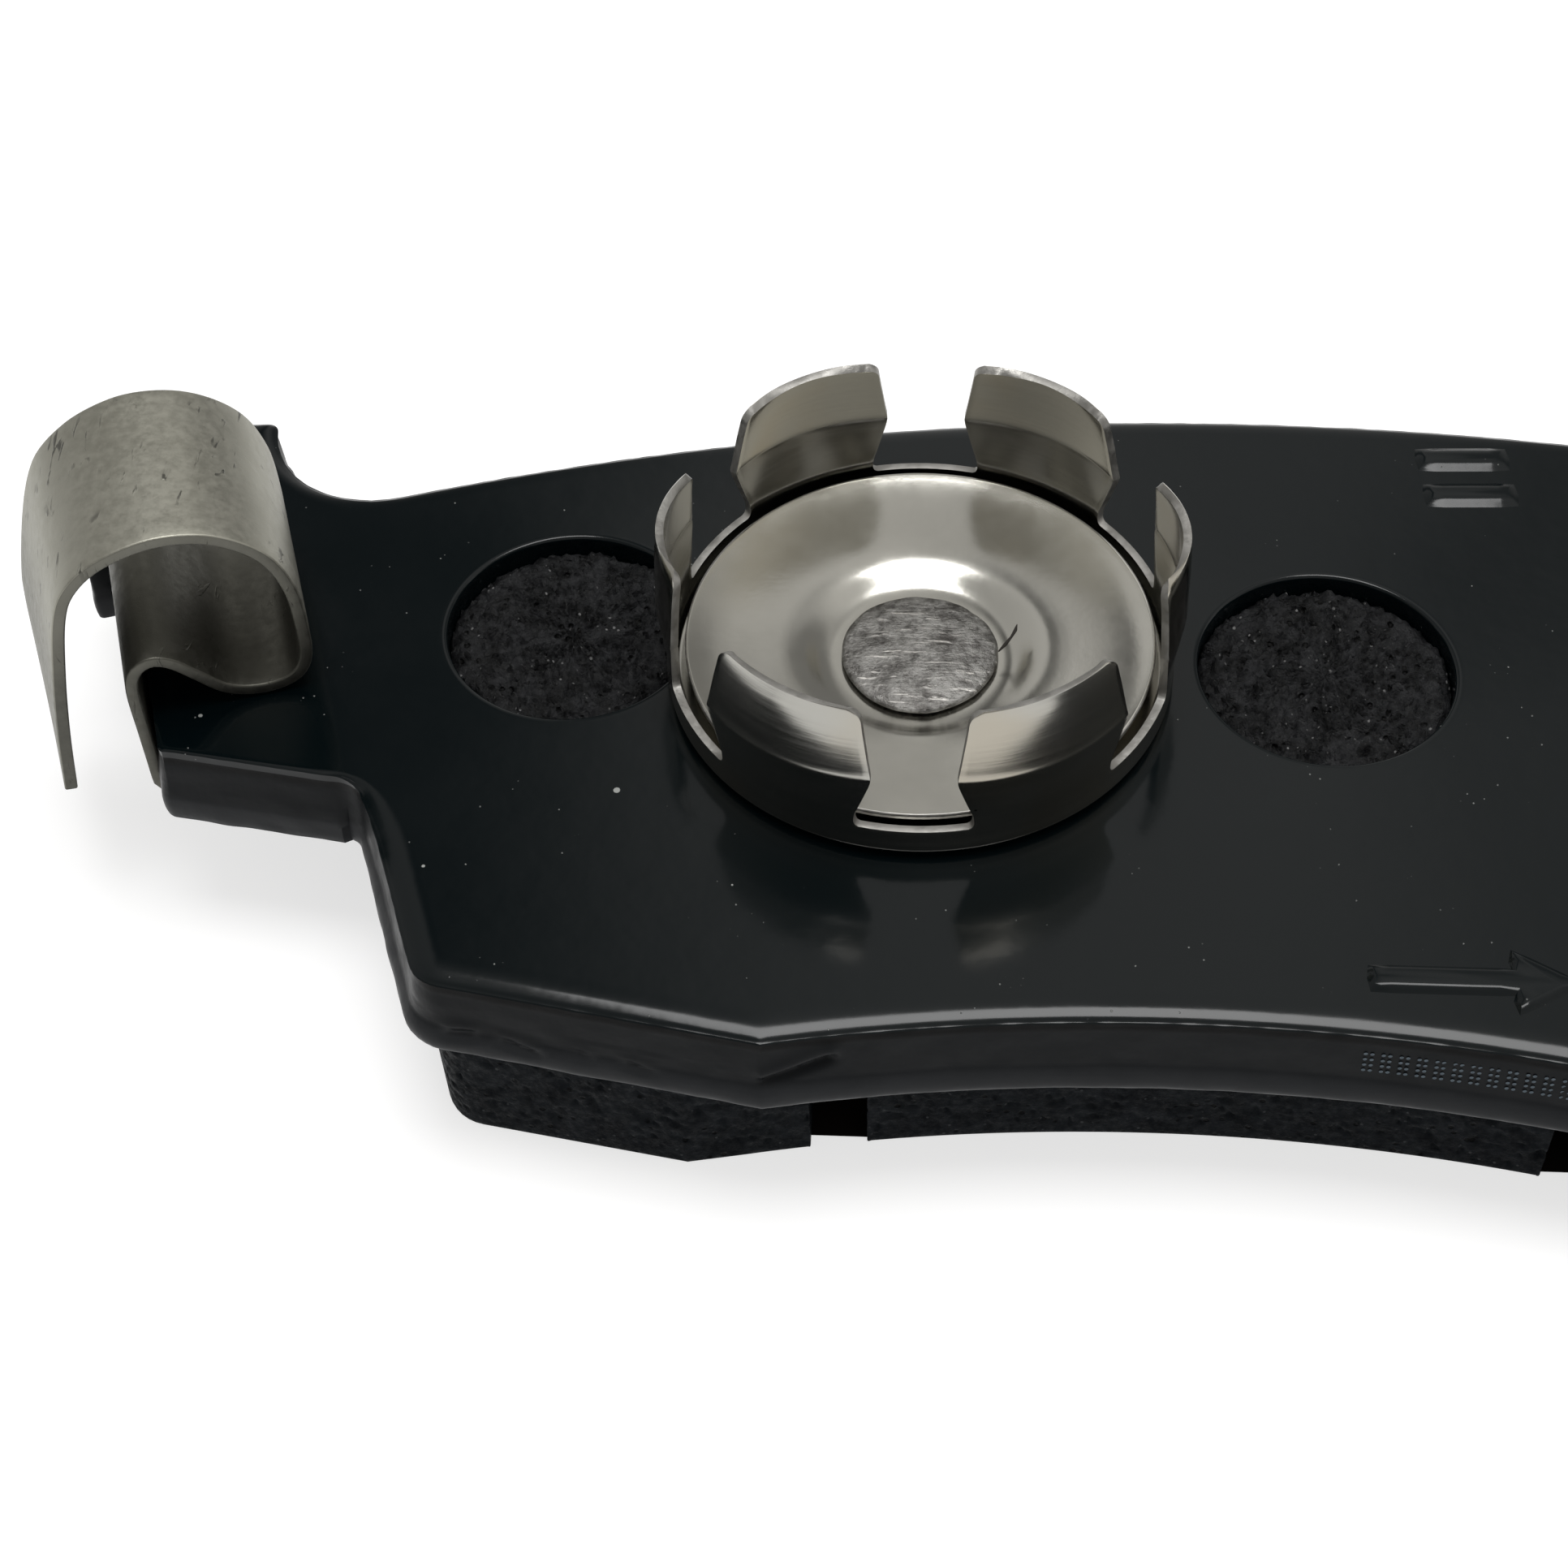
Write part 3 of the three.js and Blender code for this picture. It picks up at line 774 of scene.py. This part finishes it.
def backing_plate():
    outline = plate_outline()
    normals = inward_normals(outline)
    limits = depth_limits(outline, EDGE_PROFILE[0][0])
    roll = np.array([edge_roll(x, y) for x, y in outline])
    on_horn = np.array([[float(abs(x) > 55 and y > 7)] for x, y in outline])
    rings = []
    for level, (inset, drop) in enumerate(EDGE_PROFILE):
        depth = np.minimum(inset * roll, limits * inset / EDGE_PROFILE[0][0])
        ring = []
        rounds = round(max(0.0, inset - EVEN_FROM) * EVEN_ROUNDS)
        spine = relax(outline + normals * depth[:, None], rounds)
        spine = spine + on_horn * (relax(spine, HORN_ROUNDS) - spine)
        for (x, y), (nx, ny), share in zip(spine, normals, roll):
            fall = drop * share if level < SIDE_FROM else drop
            push = 0.0
            if level >= SIDE_FROM:
                push += 0.05 * rock((x, y, drop * 2), 0.35, 3.0)
                push += 0.012 * rock((x, y, drop), 1.6, 6.0)
                if x < -28 and drop < -3.0:
                    push += 0.07 * rock((x, y, drop), 0.5, 8.0)
                if abs(x) > 53 and y < 0:
                    push -= SEAT_FLARE * unit((-drop - 1.0) / 3.0)
                if y < -20 and level < len(EDGE_PROFILE) - 1:
                    push += side_dent(x, drop)
            elif level >= RIM_FROM:
                push += 0.04 * rock((x, y, 0), 1.1, 4.0)
            ring.append((x + nx * push, y + ny * push, PLATE_TOP + fall))
        rings.append(ring)
    wall = ring_stack("plate_wall", rings)
    parts = [wall]
    for number, (x, y) in enumerate(HOLES):
        rim = [(8.5, 0.0), (8.3, 0.012), (8.12, 0.02), (8.0, -0.03), (7.92, -0.14)]
        rim += [(HOLE_RADIUS, -0.3), (HOLE_RADIUS, -PLATE_THICKNESS)]
        parts.append(ring_stack(f"hole_{number}",
                                [circle((x, y), r, PLATE_TOP + z, 96) for r, z in rim]))
    bore = [(2.95, 0.0), (RIVET_HOLE_RADIUS, -0.2), (RIVET_HOLE_RADIUS, POCKET_CEILING),
            (POCKET_RADIUS, POCKET_CEILING), (POCKET_RADIUS, -PLATE_THICKNESS)]
    parts.append(ring_stack("rivet_bore", [circle(CLIP, r, PLATE_TOP + z, 48) for r, z in bore]))
    plate = join(parts, "steel_backing_plate")
    fill_between(plate, PLATE_TOP)
    fill_between(plate, PLATE_BOTTOM)
    tidy_mesh(plate)
    smooth(plate, 40)
    rolled_edge_ends = (PLATE_TOP - 0.55) * MM
    hole_reach = HOLE_RADIUS + 0.1
    for polygon in plate.data.polygons:
        centre = polygon.center
        inside_hole = any(
            math.hypot(centre.x / MM - x, centre.y / MM - y) < hole_reach for x, y in HOLES
        )
        polygon.material_index = 1 if centre.z < rolled_edge_ends and not inside_hole else 0
    finish_piece(plate, "pad", [COAT, COAT_SIDE])
    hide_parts("backing_plate")


def side_print():
    """A plain band of ink dots on the inner side face, in even groups of two by four."""
    insets = [inset for inset, _ in EDGE_PROFILE[SIDE_FROM:]][::-1]
    drops = [drop for _, drop in EDGE_PROFILE[SIDE_FROM:]][::-1]
    first_x, group_step, pair_step = 7.6, 0.98, 0.36
    first_drop, row_step, clear_of_side = -1.9, 0.42, 0.035
    upright = Matrix.Rotation(math.radians(90), 4, "X")
    dots = []
    for column in range(15):
        for pair in (0.0, pair_step):
            x = first_x + group_step * column + pair
            for row in range(4):
                drop = first_drop - row_step * row
                inset = float(np.interp(drop, drops, insets)) - clear_of_side
                y = arc_y(INNER_ARC, x, inset)
                bpy.ops.mesh.primitive_circle_add(
                    vertices=8, radius=DOT_RADIUS * MM, fill_type="NGON", location=(0, 0, 0))
                dot = bpy.context.object
                place = Matrix.Translation(Vector((x, y, PLATE_TOP + drop)) * MM)
                dot.data.transform(place @ upright)
                dots.append(dot)
    ink = join(dots, "printed_dots")
    finish_piece(ink, "pad", [INK])


def raised_mark(name, outline, height=0.28, soft=0.25):
    """A low embossed shape on the top of the plate, with sloping sides."""
    shape = refine(np.array(outline, float), 1.0)
    normals = inward_normals(shape)
    levels = [(-soft, 0.0), (-soft * 0.4, height * 0.35), (soft * 0.2, height * 0.85),
              (soft * 0.8, height)]
    rings = []
    for inset, z in levels:
        moved = shape + normals * inset
        rings.append([(x, y, PLATE_TOP - 0.01 + z) for x, y in moved])
    mark = ring_stack(name, rings, close_end=True)
    tidy_mesh(mark)
    smooth(mark, 60)
    finish_piece(mark, "pad", [COAT])


def bar_outline(x, y, length, width, turn):
    c, s = math.cos(turn), math.sin(turn)
    corners = [(-length / 2, -width / 2), (length / 2, -width / 2), (length / 2, width / 2),
               (-length / 2, width / 2)]
    return [(x + c * a - s * b, y + s * a + c * b) for a, b in corners]


def raised_marks():
    raised_mark("raised_bar_upper", bar_outline(17.5, 21.0, 5.4, 1.4, 0.03), 0.3, 0.45)
    raised_mark("raised_bar_lower", bar_outline(17.7, 17.6, 5.4, 1.4, 0.03), 0.3, 0.45)
    arrow = [(8.0, -22.6), (16.0, -22.6), (16.0, -23.9), (19.4, -21.9), (16.0, -19.9),
             (16.0, -21.2), (8.0, -21.2)]
    raised_mark("raised_arrow", arrow, 0.34, 0.3)


# ---------- friction material ----------

PLUG_RADIUS = 7.86
PLUG_DROP = 1.0


def friction_outline():
    lower, arc_corner, upper = (-45.7, -23.1, 3.0), (-31.2, -25.6, 0), (-57.2, 10.2, 3.5)
    clockwise = [lower, upper] + arc_points(OUTER_ARC, -51, 51, -4.3, 48)
    clockwise += [(-upper[0], upper[1], upper[2]), (-lower[0], lower[1], lower[2]),
                  (-arc_corner[0], arc_corner[1], 0)]
    clockwise += arc_points(INNER_ARC, 26, -28, 3.7, 40) + [arc_corner]
    return rounded_outline(clockwise[::-1])


def clip_side(outline, limit, keep):
    """Keeps the outline on one side of an upright line; keep is -1 for left, 1 for right."""
    kept = []
    for a, b in zip(outline, np.roll(outline, -1, axis=0)):
        inside_a, inside_b = (a[0] - limit) * keep >= 0, (b[0] - limit) * keep >= 0
        if inside_a:
            kept.append(a)
        if inside_a != inside_b:
            kept.append(a + (b - a) * (limit - a[0]) / (b[0] - a[0]))
    return np.array(kept)


def moulded_block(name, outline, bottom, top, rough, crumble, spacing, materials):
    """A pressed block: rough, crumbly sides and flat faces with slightly broken edges."""
    shape = refine(outline, spacing)
    normals = inward_normals(shape)
    levels = [(0.5, top), (0.12, top), (0.02, top - 0.15)]
    levels += [(0.0, z) for z in np.arange(top - 0.4, bottom + 0.3, -0.26)]
    levels += [(0.04, bottom + 0.12), (0.14, bottom + 0.02), (0.5, bottom)]
    rings = []
    for inset, z in levels:
        share = unit((z - bottom - 0.3) / 1.2)
        near_top = unit((z - bottom - 1.0) / 5.0)
        ring = []
        for (x, y), (nx, ny) in zip(shape, normals):
            p = (x, y, z)
            lump = rough * (0.6 * rock(p, 0.45, 1.0) + 0.4 * rock(p, 1.2, 5.0))
            pit = max(0.0, rock(p, 1.1, 9.0) - 0.30) * crumble * (0.2 + 0.5 * near_top)
            fine = max(0.0, rock(p, 1.9, 13.0) - 0.30) * crumble * 0.45
            push = inset + (rough * 0.4 - lump + pit + fine) * share
            ring.append((x + nx * push, y + ny * push, z))
        rings.append(ring)
    block = ring_stack(name, rings, close_start=True, close_end=True)
    tidy_mesh(block)
    smooth(block, 50)
    for polygon in block.data.polygons:
        if abs(polygon.normal.z) > 0.98:
            polygon.use_smooth = False
    return finish_piece(block, "pad", materials)


def plug(name, centre, seed):
    """Compound standing in a plate hole, broken and grainy on top, a little below the rim."""
    radii = [0.01] + list(np.linspace(0.3, 7.2, 36)) + [7.5, 7.72, 7.84]
    count = 170
    rings = []
    for radius in radii:
        ring = []
        for x, y, _ in circle(centre, radius, 0.0, count):
            p = (x, y, seed)
            crumb = abs(rock(p, 1.9, seed + 2)) * 0.75 + abs(rock(p, 3.1, seed + 4)) * 0.45
            lump = rock(p, 0.55, seed) * 0.32 + crumb - 0.25
            edge = max(0.0, radius - 7.0) ** 2 * 0.75
            ring.append((x, y, PLATE_TOP - PLUG_DROP + lump - edge))
        rings.append(ring)
    rings.append(circle(centre, PLUG_RADIUS, PLATE_BOTTOM, count))
    piece = ring_stack(name, rings, close_start=True, close_end=True)
    tidy_mesh(piece)
    smooth(piece, 50)
    return piece


def friction_material():
    whole = friction_outline()
    spans = {"left": (None, LEFT_SLOT[0]), "centre": (LEFT_SLOT[1], RIGHT_SLOT[0]),
             "right": (RIGHT_SLOT[1], None)}
    for side, (start, end) in spans.items():
        shape = whole
        if start is not None:
            shape = clip_side(shape, start, 1)
        if end is not None:
            shape = clip_side(shape, end, -1)
        block = moulded_block(f"compound_block_{side}", shape, ROTOR_FACE, BLOCK_TOP,
                              0.07, 1.2, 0.25, [COMPOUND])
        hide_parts(f"friction_block_{side}")
    sheet = moulded_block("bonding_sheet", whole, BLOCK_TOP, PLATE_BOTTOM, 0.10, 1.9, 0.4,
                          [BONDING])
    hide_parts("underlayer")
    for number, side in enumerate(("left", "middle", "right")):
        piece = plug(f"retention_plug_{side}", HOLES[number], 11.0 + 3 * number)
        finish_piece(piece, "pad", [PLUG])


# ---------- crown clip ----------

CROWN_SHEET = 0.5
FINGERS = 6
FINGER_COLUMNS = 26
GAP_COLUMNS = 8
GAP_FLOOR = 2.4
CREASE = 6.8
CROWN_TOP = 11.6
TIP_CORNER = 0.75
# How far each finger's middle stands out past the tip circle, by its direction in degrees.
FINGER_BULGE = {0: 0.85, 60: 0.4, 120: 0.4, 180: 0.75, 240: 0.15, 300: 0.15}
CREASE_BULGE = 0.32
SWELL_FROM = 3.0
HEEL_RADIUS = 0.55
HEEL_CENTRE = (14.9, 0.95)
# The gap between two fingers, from its floor to the tips: height, and half its width there.
GAP_HEIGHTS = [GAP_FLOOR, 2.5, 2.7, 3.4, 4.4, 5.5, 6.3, 6.7, 7.0, 7.8, 10.4, CROWN_TOP]
GAP_HALVES = [3.15, 3.32, 3.45, 3.42, 3.10, 2.78, 2.55, 2.48, 2.50, 2.62, 2.95, 3.05]
# The cup's middle surface above the heel: height, and radius there.
WALL_HEIGHTS = [HEEL_CENTRE[1], 3.4, 6.55, 6.75, 6.85, 7.1, 8.2, 9.6, 10.6, CROWN_TOP]
WALL_RADII = [15.40, 15.38, 15.50, 15.53, 15.52, 15.47, 15.34, 15.16, 15.0, 14.80]


def gap_half(height):
    """Half the gap's width at a height, in millimetres."""
    half = float(np.interp(height, GAP_HEIGHTS, GAP_HALVES))
    above = height - (CROWN_TOP - TIP_CORNER)
    if above > 0:
        half += TIP_CORNER - math.sqrt(max(0.0, TIP_CORNER ** 2 - above ** 2))
    return half


def crown_rows():
    """Radius and height of the cup's middle surface from the centre hole to the finger tips."""
    rows = [(r, 0.4) for r in (7.2, 8.5, 10.0, 11.5, 13.0, 14.2, 14.75)]
    centre_r, centre_h = HEEL_CENTRE
    for k in range(1, 7):
        a = -math.pi / 2 + math.pi / 2 * k / 6
        rows.append((centre_r + HEEL_RADIUS * math.cos(a), centre_h + HEEL_RADIUS * math.sin(a)))
    heights = [
        1.3, 1.8, 2.2, 2.4, 2.5, 2.6, 2.8, 3.1, 3.5, 4.0, 4.6, 5.2, 5.8, 6.2, 6.45, 6.6, 6.7, 6.76,
        6.82, 6.88, 6.96, 7.1, 7.4, 7.9, 8.8, 9.3, 9.8, 10.2, 10.6, 10.8, 11.0, 11.15, 11.27, 11.37,
        11.45, 11.52, 11.57, 11.6,
    ]
    rows += [(float(np.interp(h, WALL_HEIGHTS, WALL_RADII)), h) for h in heights]
    return rows


def crown_point(column, radius, height):
    """Where a grid column falls on the cup at a given radius and height."""
    sector = 360.0 / FINGERS
    per = FINGER_COLUMNS + GAP_COLUMNS
    index, place = divmod(column, per)
    middle = index * sector
    gap_angle = math.degrees(math.asin(gap_half(max(height, GAP_FLOOR)) / max(radius, 14.0)))
    if height < 0.9:
        gap_angle = math.degrees(math.asin(gap_half(GAP_FLOOR) / HEEL_CENTRE[0]))
    finger_half = sector / 2 - gap_angle
    if place <= FINGER_COLUMNS:
        u = -1 + 2 * place / FINGER_COLUMNS
        angle = middle + u * finger_half
    else:
        u = 0.0
        angle = middle + finger_half + 2 * gap_angle * (place - FINGER_COLUMNS) / GAP_COLUMNS
    rise = ease(height, SWELL_FROM, CREASE)
    bulge = FINGER_BULGE[int(round(middle)) % 360]
    upper = max(0.0, (height - CREASE) / (CROWN_TOP - CREASE))
    stand = CREASE_BULGE + (bulge - CREASE_BULGE) * upper
    swell = stand * (1 - u * u) * rise if place <= FINGER_COLUMNS else 0.0
    r = radius + swell
    a = math.radians(angle)
    return CLIP[0] + r * math.cos(a), CLIP[1] + r * math.sin(a), PLATE_TOP + height


def crown():
    rows = crown_rows()
    per = FINGER_COLUMNS + GAP_COLUMNS
    columns = FINGERS * per
    bpy.ops.mesh.primitive_grid_add(x_subdivisions=columns, y_subdivisions=len(rows) - 1, size=1.0)
    piece = bpy.context.object
    piece.name = "crown_clip"
    piece.data.name = "crown_clip"
    across = columns + 1
    order = {}
    for vertex in piece.data.vertices:
        column = round((vertex.co.x + 0.5) * columns)
        row = round((vertex.co.y + 0.5) * (len(rows) - 1))
        order[vertex.index] = (column, row)
    bpy.ops.object.mode_set(mode="EDIT")
    bpy.ops.mesh.select_mode(type="FACE")
    bpy.ops.mesh.select_all(action="DESELECT")
    mesh = bmesh.from_edit_mesh(piece.data)
    floor_row = next(k for k, (_, h) in enumerate(rows) if abs(h - GAP_FLOOR) < 1e-6)
    for face in mesh.faces:
        spots = [order[v.index] for v in face.verts]
        in_gap = min(c for c, _ in spots) % per >= FINGER_COLUMNS
        face.select_set(in_gap and min(r for _, r in spots) >= floor_row)
    bmesh.update_edit_mesh(piece.data)
    mesh.verts.ensure_lookup_table()
    for vertex in mesh.verts:
        column, row = order[vertex.index]
        radius, height = rows[row]
        vertex.co = Vector(crown_point(column, radius, height)) * MM
    bmesh.update_edit_mesh(piece.data)
    bpy.ops.mesh.delete(type="FACE")
    bpy.ops.mesh.select_mode(type="VERT")
    bpy.ops.object.mode_set(mode="OBJECT")
    tidy_mesh(piece)
    finish_piece(piece, "crown", [STAINLESS, SHEARED])
    thicken(piece, CROWN_SHEET, 0.07, 2)
    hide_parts("piston_clip_crown")


def clip_disc():
    """The dished disc: seat, dimple wall and a gentle cone out to a rounded rim."""
    top = [
        (2.75, 0.55), (4.0, 0.55), (5.2, 0.56), (5.7, 0.62), (6.1, 0.74), (6.5, 0.92), (6.9, 1.12),
        (7.3, 1.3), (7.7, 1.44), (8.2, 1.56), (8.8, 1.65), (9.6, 1.74), (10.6, 1.85), (11.6, 1.98),
        (12.6, 2.14), (13.4, 2.32), (14.0, 2.49), (14.3, 2.59), (14.42, 2.62), (14.49, 2.58),
        (14.5, 2.5),
    ]
    bottom = [
        (14.46, 2.18), (14.38, 2.12), (14.0, 1.99), (12.6, 1.64), (10.6, 1.35), (8.8, 1.15),
        (7.7, 0.95), (6.9, 0.62), (6.1, 0.24), (5.2, 0.06), (2.75, 0.05),
    ]
    rings = [circle(CLIP, r, PLATE_TOP + h, 144) for r, h in top + bottom]
    disc = ring_stack("clip_disc", rings + [rings[0]])
    tidy_mesh(disc)
    smooth(disc, 60)
    rim_low, rim_high = 14.44, 14.55
    for polygon in disc.data.polygons:
        reach = math.hypot(polygon.center.x / MM - CLIP[0], polygon.center.y / MM - CLIP[1])
        polygon.material_index = 1 if rim_low < reach < rim_high else 0
    finish_piece(disc, "pad", [SATIN, SHEARED])
    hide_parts("piston_clip_disc")


def rivet():
    """The struck head, a little out of round, with its shank and tail below."""
    head = [
        (0.02, 1.5), (0.5, 1.5), (1.0, 1.49), (1.5, 1.48), (2.0, 1.46), (2.5, 1.43), (3.0, 1.39),
        (3.5, 1.33), (3.9, 1.27), (4.3, 1.19), (4.6, 1.11), (4.78, 1.02), (4.86, 0.9), (4.8, 0.7),
        (4.6, 0.62), (2.45, 0.6),
    ]
    rings = []
    for radius, height in head:
        ring = []
        for x, y, _ in circle(CLIP, radius, 0, 96):
            angle = math.atan2(y - CLIP[1], x - CLIP[0])
            spot = (math.cos(angle), math.sin(angle), 0)
            ragged = 1 + 0.012 * math.sin(3 * angle + 0.6) + 0.014 * rock(spot, 3.5, 2.0)
            px = CLIP[0] + (x - CLIP[0]) * (ragged if radius > 3.4 else 1)
            py = CLIP[1] + (y - CLIP[1]) * (ragged if radius > 3.4 else 1)
            dent = 0.07 * rock((x, y, 0), 0.7, 4.0) + 0.035 * rock((x, y, 0), 2.2, 8.0)
            ring.append((px, py, PLATE_TOP + height + (dent if height > 0.95 else 0)))
        rings.append(ring)
    tail = [(2.45, -4.3), (3.9, -4.3), (3.9, -5.45), (3.6, -5.7)]
    rings += [circle(CLIP, r, PLATE_TOP + z, 96) for r, z in tail]
    piece = ring_stack("rivet", rings, close_start=True, close_end=True)
    tidy_mesh(piece)
    smooth(piece, 45)
    finish_piece(piece, "pad", [RIVET])
    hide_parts("clip_rivet")


def fibre():
    """A small dark wisp caught at the rivet's edge."""
    path = [
        (-13.1, 1.15, 1.62), (-12.7, 1.6, 1.78), (-12.35, 2.1, 1.9), (-12.1, 2.6, 2.0),
        (-12.0, 2.95, 2.15),
    ]
    rings = []
    for k, point in enumerate(path):
        x, y, z = point
        thick = (0.05, 0.12, 0.08, 0.12, 0.03)[k]
        rings.append([(x + thick * math.cos(a), y + thick * 0.4 * math.sin(a),
                       PLATE_TOP + z + thick * math.sin(a))
                      for a in np.linspace(0, 2 * math.pi, 8, endpoint=False)])
    wisp = ring_stack("caught_fibre", rings, close_start=True, close_end=True)
    tidy_mesh(wisp, 0.0005)
    smooth(wisp, 60)
    finish_piece(wisp, "pad", [LINT])


# ---------- ear springs ----------

def catmull_rom(points, per_span):
    points = np.array(points, float)
    padded = np.vstack((2 * points[0] - points[1], points, 2 * points[-1] - points[-2]))
    out = []
    for k in range(len(points) - 1):
        p0, p1, p2, p3 = padded[k:k + 4]
        for t in np.linspace(0, 1, per_span, endpoint=False):
            out.append(0.5 * (2 * p1 + (p2 - p0) * t + (2 * p0 - 5 * p1 + 4 * p2 - p3) * t ** 2
                              + (3 * p1 - p0 - 3 * p2 + p3) * t ** 3))
    out.append(points[-1])
    return np.array(out)


def resample(line, count):
    lengths = np.concatenate(([0], np.cumsum(np.linalg.norm(np.diff(line, axis=0), axis=1))))
    wanted = np.linspace(0, lengths[-1], count)
    return np.stack([np.interp(wanted, lengths, line[:, k]) for k in range(line.shape[1])], axis=1)


def spring_line():
    """The strip's middle line from the hook to the free leg: (along u, above the plate)."""
    points = [
        (3.2, -6.35), (1.2, -6.35), (0.15, -6.35), (-0.44, -6.15), (-0.55, -5.55), (-0.55, -4),
        (-0.55, -1), (-0.55, 2), (-0.35, 3.5), (0.25, 4.4), (1.2, 4.7), (2.3, 4.15), (3.6, 2.75),
        (4.9, 1.35), (6.4, 0.7), (8.1, 0.65), (9.5, 1.3), (10.2, 2.7), (10.35, 5.2), (10.1, 8.7),
        (8.9, 11.6), (6.3, 13.65), (3.1, 14.25), (-0.1, 13.45), (-2.2, 11.9), (-3.35, 9.7),
        (-4.4, 5), (-5.25, 0), (-5.9, -4.9),
    ]
    return resample(catmull_rom(points, 12), 150)


def ear_spring(side, name, node):
    line = spring_line()
    across = 14
    bpy.ops.object.select_all(action="DESELECT")
    bpy.ops.mesh.primitive_grid_add(x_subdivisions=len(line) - 1, y_subdivisions=across, size=1.0)
    strip = bpy.context.object
    strip.name = name
    strip.data.name = name
    cos, sin = math.cos(EAR_ANGLE), math.sin(EAR_ANGLE)
    for vertex in strip.data.vertices:
        step = round((vertex.co.x + 0.5) * (len(line) - 1))
        share = vertex.co.y + 0.5
        u, h = line[step]
        along = step / (len(line) - 1)
        leg = max(0.0, (along - 0.72) / 0.28)
        n = SPRING_OFFSET + SPRING_WIDTH * share
        h += 0.3 * share * max(0.0, 1 - abs(along - 0.66) / 0.2)
        u -= share * (0.85 * min(1.0, leg * 1.6) + 0.4 * math.sin(math.pi * leg))
        h -= 1.6 * share * leg ** 3
        x = EAR_CORNER[0] + u * cos - n * sin
        y = EAR_CORNER[1] + u * sin + n * cos
        vertex.co = Vector((x if side < 0 else -x, y, PLATE_TOP + h)) * MM
    if side > 0:
        strip.data.flip_normals()
    finish_piece(strip, "pad", [SPRING_INSIDE_SHADED, SPRING_EDGE, SPRING])
    thicken(strip, SPRING_SHEET, 0.14, 3, other_side=2)
    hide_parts(node)


# ---------- assembly ----------

COAT = powder_coat()
COAT_SIDE = coated_side()
COMPOUND = compound("friction_compound_black", (0.0022, 0.0030, 0.0040), (0.0065, 0.0080, 0.0098),
                    (0.03, 0.032, 0.034), 0.14)
PLUG = compound("friction_compound_in_holes", (0.002, 0.0022, 0.0026), (0.014, 0.0145, 0.016),
                (0.16, 0.16, 0.16), 0.62, 1.30)
BONDING = compound("bonding_layer_black", (0.004, 0.0042, 0.0046), (0.010, 0.0105, 0.0115),
                   (0.03, 0.028, 0.026), 0.12)
STAINLESS = bright_steel()
SHEARED = sheared_steel()
SATIN = satin_steel()
RIVET = rivet_steel()
SPRING = dull_steel("dull_spring_strip", 0.64, 0.8)
SPRING_EDGE = dull_steel("spring_strip_edge", 0.30, 0.3)
# Painted shade: the strip's inner face is a darker copy of the same steel.
SPRING_INSIDE_SHADED = dull_steel("spring_strip_inside_shaded", 0.42, 0.0)
INK = ink()
LINT = lint()

add_camera()
add_room()
add_floor()
add_slot_shadows()
add_softbox()

backing_plate()
raised_marks()
side_print()
friction_material()
crown()
clip_disc()
rivet()
fibre()
ear_spring(-1, "ear_spring_strip_left", "ear_spring_left")
ear_spring(1, "ear_spring_strip_right", "ear_spring_right")
